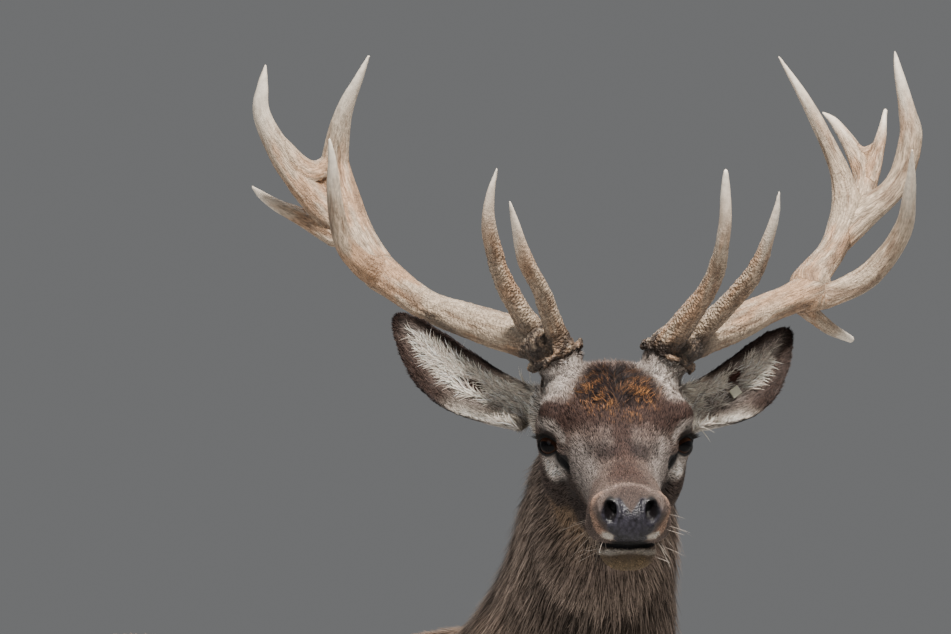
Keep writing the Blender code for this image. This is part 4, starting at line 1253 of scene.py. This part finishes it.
def buildTufts(name, roots, normals, lie, look, flat, segments):
    # look: length, width, lift, fall and bend of each tuft with its root and tip colours
    length, width, lift, fall, bend, rootTone, tipTone = look
    corners, triangles = blades[segments]
    across = unit(np.cross(normals, lie))
    placed, facing, tint, unwrapped = [], [], [], []
    for side, along, wide in corners:
        reach = length * along
        angle = lift * (1 - along) + (lift - fall) * along
        out = np.sin(lift) * reach - fall * reach * along * 0.5
        above = out - coatForm["rootDepth"]
        place = roots + lie * (np.cos(angle) * reach)[:, None] + normals * above[:, None]
        placed.append(place + across * (bend * reach * along + side * wide * width / 2)[:, None])
        facing.append(unit(normals - lie * (0.25 * along) + across * side * 0.45))
        tint.append(mix(rootTone, tipTone, along))
        unwrapped.append(flat + np.array((side * wide * 0.5, along - 0.5)) * coatForm["patch"])
    placed, facing, tint, unwrapped = (
        np.stack(rows, 1).reshape(-1, rows[0].shape[1]) for rows in (placed, facing, tint, unwrapped)
    )
    first = np.arange(len(roots))[:, None, None] * len(corners)
    faces = (first + np.array(triangles)[:, ::-1]).reshape(-1)
    mesh = meshOf(name, placed, faces)
    giveTint(mesh, tint)
    mesh.uv_layers.new(name="OFBake").data.foreach_set("uv", unwrapped[faces].astype(np.float32).ravel())
    mesh.normals_split_custom_set_from_vertices(facing.astype(np.float32))
    piece = addObject(name, mesh)
    finishPiece(piece, coatMaterial, "coat")
    return piece


# how each kind of hair stands: sway and bend sideways, lift and fall from the skin, size of a clump;
# agouti is the share of dark tufts, their darkness, and the paleness of the rest

hairKinds = {
    "short": {
        "sway": 0.18, "lift": 12, "fall": 0.3, "bend": 0.05, "clump": 9, "segments": 1, "wide": 1.15,
        "agouti": (0.42, 0.2, 1.9), "speckle": 2.6,
    },
    "long": {
        "sway": 0.13, "lift": 15, "fall": 0.45, "bend": 0.10, "clump": 16, "segments": 2, "wide": 1,
        "agouti": (0.36, 0.3, 1.6), "speckle": 5,
    },
    "calm": {
        "sway": 0.10, "lift": 10, "fall": 0.5, "bend": 0.06, "clump": 22, "segments": 2, "wide": 1.7,
        "agouti": (0.3, 0.5, 1.4), "speckle": 5,
    },
    "curly": {
        "sway": 0.55, "lift": 34, "fall": 0.5, "bend": 0.3, "clump": 7, "segments": 2, "wide": 1,
        "agouti": (0.36, 0.3, 1.6), "speckle": 3,
    },
}


def growCoat(name, weight, count, seed, unwrap, kind, toneOf=None, length=None, **changes):
    form = {**hairKinds[kind], **changes}
    rng = np.random.default_rng(seed)
    roots, normals, shares = pickRoots(weight, count, rng)
    h = toHead(roots)
    lie = lieOfCoat(roots, h, normals, shares)
    size = form["clump"] * mm
    turned = drift(roots, size, seed + 1) * form["sway"] + rng.normal(0, form["sway"] * 0.55, count)
    lie = unit(lie * np.cos(turned)[:, None] + np.cross(normals, lie) * np.sin(turned)[:, None])
    length = length or tuftLength(roots, h, shares)
    length = length * mm * rng.uniform(0.7, 1.15, count) * (1 + 0.18 * drift(roots, size * 2, seed + 2))
    width = np.interp(length / mm, *np.array(coatForm["widths"]).T) * mm * form["wide"]
    lift = np.radians(form["lift"]) * (1 + 0.5 * drift(roots, size, seed + 3) + rng.normal(0, 0.3, count))
    lift = np.clip(lift, 0.03, 1.3)
    colour = toneOf(count, rng) if toneOf else markings(roots, shares)
    darkShare, darkness, paleness = form["agouti"]
    speckle = drift(roots, form["speckle"] * mm, seed + 4)
    dark = rng.random(count) < darkShare + 0.5 * speckle
    factor = np.where(dark, darkness, rng.uniform(0.9, paleness, count)) * np.exp(0.5 * speckle)
    colour = colour * factor[:, None]
    ends = [np.clip(colour * coatForm[shade], 0.003, 0.95) for shade in ("rootShade", "tipShade")]
    look = (length, width, lift, lift * form["fall"], rng.normal(0, form["bend"], count), *ends)
    buildTufts(name, roots, normals, lie, look, fillSquare(roundUnwrap(roots, *unwrap)), form["segments"])
    print(name, "grown:", count, "tufts")


def growHeadAndNeck():
    head, _, neck, *_ = skinShares.T
    h = toHead(skinPoints)
    crown, pedicle, _, below = regionOf(h)
    bare = np.clip(np.maximum(padShare(h), darkLines(h)) * 1.5, 0, 1)
    skull = head * (1 - bare)
    top = np.maximum(crown, pedicle)
    muzzle = ramp(h[:, 1], 120, 150)
    high = ramp(skinPoints[:, 2], 1.10, 1.22)
    alongHead = (fromHead((0, 60, -10)), headAxes[1])
    alongNeck = ((-0.06, -0.42, 1.25), (0.16, 0.52, -0.84))
    growCoat("coatMuzzle", skull * muzzle * (1 - below), 56000, 100, alongHead, "short")
    growCoat("coatFace", skull * (1 - muzzle) * (1 - top) * (1 - below), 150000, 110, alongHead, "short")
    growCoat("coatCrown", skull * top, 30000, 120, alongHead, "curly")
    upper = np.clip(skull * below + neck * high, 0, 1)
    growCoat("coatNeckUpper", upper, 62000, 130, alongNeck, "long")
    growCoat("coatNeckLower", neck * (1 - high), 62000, 140, alongNeck, "long")


def growBody():
    *_, trunk, leg, tail = skinShares.T
    y = skinPoints[:, 1]
    fore, rear = 1 - ramp(y, -0.16, -0.10), ramp(y, 0.32, 0.38)
    spine = ((0, 0, 0.95), (0, 1, 0))
    for i, (part, amount) in enumerate((("Fore", fore), ("Middle", (1 - fore) * (1 - rear)), ("Rear", rear))):
        growCoat(f"coatTrunk{part}", trunk * amount, 55000, 150 + 10 * i, spine, "calm")
    upright = ((0, 0, 0), (0, 0, 1))
    for i, (part, amount) in enumerate((("Fore", y < 0.1), ("Hind", y >= 0.1))):
        growCoat(f"coatLegs{part}", leg * amount, 60000, 200 + 10 * i, upright, "calm", segments=1, wide=1.2)
    growCoat("coatTail", tail, 8000, 220, ((0, 0.85, 1), (0, 0.3, -1)), "long")


def lockTone(count, rng):
    return mix(tone["cream"], tone["blush"], (rng.random((count, 1)) < 0.3) * 0.5)


def growEar(side, seed):
    h = toHead(skinPoints)
    mine = skinShares[:, 1] * (h[:, 0] * sides[side] > 0)
    along, turn, rise = earCoords(h, side)
    within = ramp(rise, -0.6, 0.6) * (h[:, 0] * sides[side] > 55)
    root, line, _, _ = earAxes(side)
    unwrap = (fromHead(root), line @ headAxes)
    back = {"lift": 8, "agouti": (0.34, 0.4, 1.5)}
    growCoat(f"coatEar_{side}", mine * (1 - within), 24000, seed, unwrap, "short", **back)
    inner = {"lift": 14, "sway": 0.4, "speckle": 2.2, "agouti": (0.4, 0.3, 1.7)}
    growCoat(f"coatEarWithin_{side}", mine * within, 26000, seed + 5, unwrap, "short", **inner)
    band = share(np.hypot((along - 0.42) / 0.34, (turn - 0.14) / 0.30), 0.35) + 0.8 * (along < 0.13)
    pit = share(pitOf(side, along, turn, (0.08, 0.18)), 0.3)
    gaps = ramp(drift(skinPoints, 0.008, 61), -0.35, 0.0) * (1 - pit)
    tag = toHead(np.array(sum(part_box("ear_tag"), Vector()) / 2)[None])[0]
    clear = ramp(alongPath(h, [tag, tag - unit(line) * 20, tag]), 10, 15)
    weight = mine * within * np.clip(band, 0, 1) * gaps * clear
    locks = {"segments": 3, "sway": 0.3, "lift": 22, "bend": 0.4, "agouti": (0.12, 0.35, 1.1), "clump": 9}
    locks.update({"length": coatForm["earWithin"], "toneOf": lockTone})
    growCoat(f"coatEarLocks_{side}", weight, 4200, seed + 10, unwrap, "curly", **locks)


growHeadAndNeck()
growBody()
growEar("left", 230)
growEar("right", 250)


# long single hairs: lashes over the eyes and feelers round the mouth

hairs = {
    "lashes": {"each": 46, "span": (-42, 36), "length": (8, 13), "width": 0.5, "tone": (0.012, 0.01, 0.009)},
    "feelers": {"each": 15, "length": (18, 42), "width": 0.35, "tone": (0.35, 0.3, 0.26)},
}


def growHairs(name, starts, ways, rng):
    form = hairs[name]
    count = len(starts)
    starts, ways = fromHead(np.array(starts)), unit(np.array(ways) @ headAxes)
    up = unit(np.cross(ways, headAxes[0]))
    up *= np.sign(up @ headAxes[1])[:, None]
    colour = np.tile(form["tone"], (count, 1))
    still = np.zeros(count)
    size = (rng.uniform(*form["length"], count) * mm, np.full(count, form["width"] * mm))
    look = (*size, still, still - 0.25, np.linspace(-0.12, 0.12, count), colour, colour * 1.3)
    flat = fillSquare(np.column_stack([np.arange(count) % 9, np.arange(count) // 9]).astype(float))
    buildTufts(name, starts, up, ways, look, flat, 3)


def growLashes():
    starts, ways = [], []
    power = eyeForm["corner"]
    for way in sides.values():
        inward, up, _ = eyeAxes(way)
        for along in np.linspace(*hairs["lashes"]["span"], hairs["lashes"]["each"]):
            height = eyeForm["upper"] * (1 - abs(along / eyeForm["halfWidth"]) ** power) ** (1 / power)
            outward = fromEye(way, along, height + 2)
            starts.append(onSide(eyeForm["centre"], way) + outward * (eyeForm["rim"] + 0.2))
            ways.append(outward + up * 0.25 + inward * along * 0.008)
    growHairs("lashes", starts, ways, np.random.default_rng(31))


def growFeelers():
    rng = np.random.default_rng(32)
    tree = BVHTree.FromPolygons(skinPoints.tolist(), skinFaces.tolist())
    starts, ways = [], []
    for way in sides.values():
        for _ in range(hairs["feelers"]["each"]):
            aim = np.array((rng.uniform(22, 46) * way, rng.uniform(195, 240), rng.uniform(-52, -6)))
            found, normal, _, _ = tree.find_nearest(Vector(fromHead(aim)))
            starts.append(toHead(np.array(found)))
            ways.append(headAxes @ np.array(normal) + (0.2 * way, -0.15, -0.3) + rng.normal(0, 0.15, 3))
    growHairs("feelers", starts, ways, rng)


growLashes()
growFeelers()
print("lashes and feelers grown")


# antlers: each is one surface, grooved along its length, pearled low down and smooth at the tips

# centre lines in the head's axes: (left, forward, up, radius)
antlerLines = {
    "right": {
        "web": [
            (-290, -390, 218, 9), (-302, -392, 197, 12), (-318, -394, 187, 14), (-337, -397, 197, 12),
            (-354, -400, 218, 9),
        ],
        "beam": [
            (-70, -83, 83, 25), (-88, -102, 86, 22), (-145, -167, 84, 20.5), (-198, -234, 83, 17),
            (-246, -301, 99, 21),
        ],
        "trez": [
            (-244, -297, 97, 19), (-270, -278, 118, 14.5), (-291, -266, 149, 11.2), (-302, -251, 202, 9.2),
            (-306, -238, 250, 6), (-310, -231, 280, 2.4),
        ],
        "inner": [
            (-246, -301, 99, 20), (-270, -351, 130, 19), (-290, -388, 183, 16.5), (-293, -395, 212, 15),
            (-285, -383, 265, 10.2), (-270, -368, 309, 6), (-260, -360, 337, 2.4),
        ],
        "outer": [
            (-266, -346, 124, 18), (-309, -383, 153, 19), (-351, -401, 201, 15), (-378, -397, 255, 10.8),
            (-378, -393, 290, 7.4), (-375, -391, 316, 2.4),
        ],
        "rear": [
            (-295, -363, 123, 14), (-330, -406, 130, 10), (-357, -434, 135, 7.6), (-375, -448, 143, 5.6),
            (-385, -456, 150, 2.5),
        ],
        "brow": [
            (-58, -63, 92, 15), (-67, -58, 116, 11.8), (-84, -34, 168, 9.8), (-104, -14, 209, 9.0),
            (-117, 4, 256, 5.8), (-125, 14, 287, 2.3),
        ],
        "bez": [
            (-81, -101, 91, 15), (-101, -86, 123, 12.2), (-129, -68, 181, 10), (-143, -47, 239, 8.4),
            (-143, -37, 277, 5.8), (-137, -30, 310, 2.3),
        ],
    },
    "left": {
        "web": [(298, -408, 214, 7), (312, -400, 207, 9), (327, -400, 216, 7)],
        "beam": [
            (67, -81, 82, 25), (87, -97, 86, 22), (137, -147, 87, 20.5), (194, -206, 91, 17),
            (234, -241, 96, 20),
        ],
        "trez": [
            (231, -237, 91, 18), (261, -247, 90, 14.2), (308, -252, 114, 13.8), (338, -237, 167, 10.8),
            (343, -213, 225, 7.8), (341, -190, 280, 2.4),
        ],
        "inner": [
            (234, -247, 104, 19), (267, -297, 126, 15.8), (286, -336, 160, 17.5), (280, -355, 199, 12),
            (262, -359, 240, 9), (235, -354, 291, 7), (205, -352, 339, 2.2),
        ],
        "outer": [
            (278, -315, 136, 17), (306, -335, 157, 17), (344, -345, 189, 13.6), (359, -351, 240, 13.2),
            (354, -352, 274, 10.4), (342, -350, 321, 6.2), (337, -352, 345, 2.4),
        ],
        "rear_in": [
            (302, -342, 160, 13), (312, -378, 186, 13.5), (299, -408, 212, 9.4), (282, -436, 233, 6.4),
            (269, -451, 241, 2.6),
        ],
        "rear_out": [
            (309, -364, 175, 13), (323, -389, 203, 9.6), (332, -406, 230, 6.2), (337, -421, 253, 3.4),
        ],
        "snag": [(226, -235, 85, 13), (249, -261, 57, 8.8), (271, -282, 35, 7.4), (293, -304, 17, 5.2)],
        "brow": [
            (58, -64, 95, 17), (75, -49, 122, 14), (103, -14, 186, 9.8), (112, 16, 255, 7.8),
            (111, 24, 299, 6.6), (110, 29, 327, 3.6),
        ],
        "bez": [
            (92, -95, 92, 15), (118, -75, 127, 12), (151, -43, 183, 9.9), (165, -22, 235, 6.9),
            (171, -13, 266, 5), (173, -7, 291, 2.2),
        ],
    },
}

antlerForm = {
    "voxel": 2.0,
    "smoothing": 3,
    "keep": 0.34,
    "grooves": 1.0,  # depth
    "pearls": 1.0,  # height
    "bumps": 1.1,  # height, on the burr
    "burr": [((62, -77, 76), (31, 31, 5.5), (18, 30)), ((68, -80, 90), (21, 24, 19), (0, 0))],
    "knobs": 74,
    "knobSize": (1.8, 3.1),
}

hornTones = {
    "horn": np.array((0.60, 0.465, 0.34)),
    "ivory": np.array((0.86, 0.77, 0.65)),
    "groove": np.array((0.24, 0.145, 0.09)),
    "stain": np.array((0.52, 0.285, 0.15)),
    "burrDark": np.array((0.045, 0.03, 0.023)),
}


def addTube(bm, line):
    run = Vector(line[-1][:3]) - Vector(line[0][:3])
    rows = [(*place, r, r, r) for *place, r in line]
    addLoft(bm, rows, across=run.orthogonal(), around=18, steps=6, squareness=2)
    for *place, r in (line[0], line[-1]):
        addMass(bm, place, (r, r, r))


def addBurr(bm, way, rng):
    for centre, radii, (aboutX, aboutY) in antlerForm["burr"]:
        addMass(bm, onSide(centre, way), radii, (aboutX, aboutY * way, 0))
    centre, radii, (aboutX, aboutY) = antlerForm["burr"][0]
    turned = Matrix.Rotation(math.radians(aboutY * way), 4, "Y")
    turned @= Matrix.Rotation(math.radians(aboutX), 4, "X")
    for i in range(antlerForm["knobs"]):
        angle = 2 * math.pi * (i + rng.uniform(-0.3, 0.3)) / antlerForm["knobs"]
        reach = radii[0] * rng.uniform(0.93, 1.06)
        spot = Vector((math.cos(angle) * reach, math.sin(angle) * reach, rng.uniform(-5, 5)))
        size = rng.uniform(*antlerForm["knobSize"])
        addMass(bm, turned @ spot + Vector(onSide(centre, way)), (size, size, size * rng.uniform(0.8, 1.3)))


def nearestLine(h, lines):  # for each point: which line, how far along, share of its length, angle round it
    best = np.full(len(h), 1e9)
    which, along, part, angle, thick = (np.zeros(len(h)) for _ in range(5))
    for number, line in enumerate(lines.values()):
        path = flowing(line, 4)
        lengths = np.concatenate([[0], np.cumsum(lengthOf(np.diff(path[:, :3], axis=0)))])
        ahead = unit(path[-1, :3] - path[0, :3])
        side = unit(np.cross(ahead, (0.2, 0.3, 1)))
        other = np.cross(ahead, side)
        for i in range(len(path) - 1):
            a, b = path[i, :3], path[i + 1, :3]
            near = np.flatnonzero(lengthOf(h - (a + b) / 2) < 70)
            t = np.clip((h[near] - a) @ (b - a) / ((b - a) @ (b - a)), 0, 1)
            away = h[near] - a - t[:, None] * (b - a)
            radius = path[i, 3] * (1 - t) + path[i + 1, 3] * t
            off = lengthOf(away) - radius
            closer = off < best[near]
            mine = near[closer]
            best[mine] = off[closer]
            which[mine] = number
            along[mine] = mix(lengths[i], lengths[i + 1], t[closer])
            part[mine] = along[mine] / lengths[-1]
            angle[mine] = np.arctan2(away[closer] @ side, away[closer] @ other)
            thick[mine] = radius[closer]
    return which, along, part, angle, thick


def antlerCoords(h, side):  # where each point lies on the antler, and what its surface is like there
    lines = antlerLines[side]
    which, along, part, angle, thick = nearestLine(h, lines)
    names = list(lines)
    onBeam = np.isin(which, [names.index("beam"), names.index("web")])
    body = 1 - ramp(part, 0.5, 0.95) * ~onBeam  # 0 on the smooth tips
    toBurr = lengthOf(h - onSide(antlerForm["burr"][0][0], sides[side]))
    low = (1 - ramp(toBurr, 70, 330)) * body * np.where(onBeam, 0.6, 1)
    ring = np.column_stack([np.cos(angle) * thick, np.sin(angle) * thick])
    rolled = np.column_stack([ring / 4.5, along / 34 + which * 7])
    lengthwise = np.column_stack([ring, along / 9 + which * 40])
    return body, toBurr, low, rolled, lengthwise


def antlerTone(h, facing, body, toBurr, low, rolled, groove, burr, knobbly):
    ivory = 1 - body
    patch = ramp(drift(h, 55, 56) + 0.7 * drift(rolled, 0.9, 57), -0.1, 0.6) * (1 - 0.8 * ivory)
    # painted shade: darker on the downward faces low on the antler
    undersideShade = ramp(-facing[:, 2], -0.2, 0.9) * low
    # darker at the antler's base next to the burr: partly its own dark brown, partly painted shade, most on
    # the downward faces
    footDarkAndShade = (1 - ramp(toBurr, 38, 75)) * ramp(drift(h, 12, 59) - facing[:, 2] * 0.7, -0.7, 0.5)
    colour = hornTones["horn"]
    for name, amount in (
        ("ivory", ivory),
        ("stain", 0.7 * patch),
        ("groove", 0.75 * ramp(-groove, 0.0, 0.7) * body),
        # painted shade in the groove brown on the downward faces
        ("groove", 0.6 * undersideShade),
        # the base's dark brown together with painted shade
        ("burrDark", 0.75 * footDarkAndShade),
        ("burrDark", burr * (0.35 + 0.6 * (1 - ramp(knobbly, -0.15, 0.4)))),
    ):
        colour = mix(colour, hornTones[name], amount[:, None])
    return np.clip(colour, 0.01, 0.95)


def makeAntler(side):
    bm = bmesh.new()
    for line in antlerLines[side].values():
        addTube(bm, line)
    addBurr(bm, sides[side], np.random.default_rng(41 + sides[side]))
    bmesh.ops.recalc_face_normals(bm, faces=bm.faces)
    antler = newPiece(f"antler_{side}", bm)
    fuse(antler, antlerForm["voxel"], antlerForm["smoothing"])
    mesh = antler.data
    h = meshArrays(mesh)[0]
    facing = setPoints(mesh, h)
    body, toBurr, low, rolled, lengthwise = antlerCoords(h, side)
    groove = drift(rolled, 1, 51) + 0.5 * drift(rolled * (1.8, 1.8, 1.4), 1, 52)
    pearly = np.clip(low + 0.35 * ramp(drift(h, 40, 58), 0.1, 0.5) * body, 0, 1)
    pearl = np.clip(drift(h, 4.2, 53) + 0.3 * drift(h, 9, 54), 0, 1) * pearly
    burr = share(toBurr / 42, 0.1)
    knobbly = drift(h, 4.5, 55) * burr
    move = groove * antlerForm["grooves"] * body * (1 - burr) + pearl * antlerForm["pearls"]
    move += knobbly * antlerForm["bumps"] - 0.8 * (1 - body)
    giveValue(mesh, "pearly", np.clip(pearly + burr, 0, 1) * (1 - 0.3 * (1 - body)))
    giveValue(mesh, "furrowed", body * (1 - 0.6 * pearly))
    vectors = mesh.attributes.new("lengthwise", "FLOAT_VECTOR", "POINT").data
    vectors.foreach_set("vector", lengthwise.astype(np.float32).ravel())
    giveTint(mesh, antlerTone(h, facing, body, toBurr, low, rolled, groove, burr, knobbly))
    setPoints(mesh, fromHead(h + facing * move[:, None]))
    thinOut(antler, antlerForm["keep"])
    nodes = [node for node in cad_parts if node.startswith(f"antler_{side}_")]
    finishPiece(antler, antlerMaterial, "antler", *nodes)
    print(antler.name, "made:", len(antler.data.polygons), "faces")


antlerMaterial = makeAntlerMaterial()
for side in sides:
    makeAntler(side)


# eyes: glossy dark balls with a bulging front and a level pupil

def makeEye(side, material):
    way = sides[side]
    facing = eyeAxes(way)[2]
    bm = bmesh.new()
    bmesh.ops.create_icosphere(bm, subdivisions=5, radius=1)
    points = np.array([v.co for v in bm.verts])
    cosine = points @ facing
    level = unit(np.cross(facing, (0, 0, 1)))
    gaze = np.hypot(points @ level * 0.62, points @ unit(np.cross(level, facing)) * 1.12) * 1.35
    gaze = np.where(cosine > 0, np.clip(gaze, 0, 1), 1)
    radius = eyeForm["radius"] * (1 + eyeForm["bulge"] * ramp(cosine, 0.72, 0.95))
    placed = fromHead(onSide(eyeForm["centre"], way) + points * radius[:, None])
    for vert, place in zip(bm.verts, placed):
        vert.co = place
    bmesh.ops.recalc_face_normals(bm, faces=bm.faces)
    eye = newPiece(f"eyeball_{side}", bm)
    giveValue(eye.data, "gaze", gaze)
    finishPiece(eye, material, "eye", f"eye_{side}")


eyeMaterial = makeEyeMaterial()
for side in sides:
    makeEye(side, eyeMaterial)
print("eyes made")


# hooves and dewclaws: the frame's forms, rounded, with their soles kept flat

hoofForm = {"cuts": 3, "passes": 5, "sole": 0.0015, "dewclawGap": 0.004}


def seatDewclaw(part):  # against the leg
    points = np.array([v.co for v in part.verts])
    middle = points.mean(0)
    leg = skinPoints[np.argmin(lengthOf(skinPoints - middle))]
    move = (leg - middle) * max(0, 1 - hoofForm["dewclawGap"] / lengthOf(leg - middle))
    for vert, place in zip(part.verts, points + move):
        vert.co = place


def makeHooves():
    nodes = [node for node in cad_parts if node.startswith(("hoof", "dewclaw"))]
    bm = bmesh.new()
    for node in nodes:
        part = openNode(node)
        bmesh.ops.triangulate(part, faces=part.faces)
        bmesh.ops.subdivide_edges(part, edges=part.edges, cuts=hoofForm["cuts"], use_grid_fill=True)
        stands = min(v.co.z for v in part.verts) < 0.001
        for _ in range(hoofForm["passes"]):
            free = [v for v in part.verts if not stands or v.co.z > hoofForm["sole"]]
            axes = {f"use_axis_{axis}": True for axis in "xyz"}
            bmesh.ops.smooth_vert(part, verts=free, factor=0.5, **axes)
        if not stands:
            seatDewclaw(part)
        addPart(bm, part)
    hooves = newPiece("hooves", bm)
    finishPiece(hooves, makeHoofMaterial(), "hoof", *nodes)
    print("hooves made:", len(hooves.data.polygons), "faces")


makeHooves()

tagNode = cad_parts["ear_tag"]
tagNode.data.materials.clear()
tagNode.data.materials.append(makeTagMaterial())


# floor, light and camera

studio = {
    "floor": [(0, (0.4462, 0.44135, 0.43165)), (1, (0.46, 0.455, 0.445))],
    "floorRadius": 7,
    "world": (0.60, 0.61, 0.62, 1),
    "worldStrength": 0.27,
    "lights": [  # name, place from the head (right, towards the viewer, up), size, power, colour
        ("key", (0.4, 3.2, 4.4), 1.0, 850, (1.0, 0.96, 0.90)),
        ("fill", (-3.6, 3.4, 0.6), 3.0, 36, (0.90, 0.95, 1.0)),
        ("rim", (-1.5, -3.6, 2.6), 2.2, 80, (1.0, 0.98, 0.95)),
        ("body", (3.0, -0.5, 3.0), 3.0, 60, (1.0, 0.97, 0.93)),
    ],
}

cameraForm = {
    "azimuth": -35,
    "elevation": 1,
    "distance": 10,
    "width": 1.0528,  # of the view at the head
    "offset": (-0.1553, 0.1406),  # of its middle from the head: right, up
    "sensor": 36,
}


def viewAxes():
    azimuth, elevation = math.radians(cameraForm["azimuth"]), math.radians(cameraForm["elevation"])
    ahead = Vector((-math.sin(azimuth), math.cos(azimuth), 0)) * math.cos(elevation)
    ahead.z = -math.sin(elevation)
    right = Vector((math.cos(azimuth), math.sin(azimuth), 0))
    return right, ahead, right.cross(ahead)


def makeFloor():
    bm = bmesh.new()
    bmesh.ops.create_circle(bm, cap_ends=True, segments=96, radius=studio["floorRadius"])
    floor = newPiece("floor", bm)
    material, tree = newMaterial("floor")
    setShader(tree, Base_Color=rampOf(tree, noiseOf(tree, 3, 2), studio["floor"]), Roughness=0.7)
    floor.data.materials.append(material)
    floor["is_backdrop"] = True


def makeLights():
    world = bpy.data.worlds.new("studio")
    bpy.context.scene.world = world
    world.use_nodes = True
    background = world.node_tree.nodes["Background"]
    background.inputs["Color"].default_value = studio["world"]
    background.inputs["Strength"].default_value = studio["worldStrength"]
    right, ahead, _ = viewAxes()
    head = Vector(headOrigin)
    for name, (across, near, high), size, power, colour in studio["lights"]:
        lamp = bpy.data.lights.new(name, "AREA")
        lamp.shape, lamp.size, lamp.energy, lamp.color = "DISK", size, power, colour
        light = addObject(name, lamp)
        light.location = head + right * across - ahead * near + Vector((0, 0, high))
        light.rotation_euler = (head - light.location).to_track_quat("-Z", "Y").to_euler()


def makeCamera():
    right, ahead, up = viewAxes()
    lens = bpy.data.cameras.new("camera")
    lens.sensor_width = cameraForm["sensor"]
    lens.lens = cameraForm["sensor"] * cameraForm["distance"] / cameraForm["width"]
    lens.clip_end = 60
    camera = addObject("camera", lens)
    across, high = cameraForm["offset"]
    place = Vector(headOrigin) - ahead * cameraForm["distance"] + right * across + up * high
    camera.matrix_world = Matrix.Translation(place) @ Matrix((right, up, -ahead)).transposed().to_4x4()
    bpy.context.scene.camera = camera


makeFloor()
makeLights()
makeCamera()
print("floor, lights and camera placed")


def writeSize():
    boxes = {"cad": cadBounds, "visual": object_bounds()}
    boxes = {name: [list(corner) for corner in box] for name, box in boxes.items()}


writeSize()
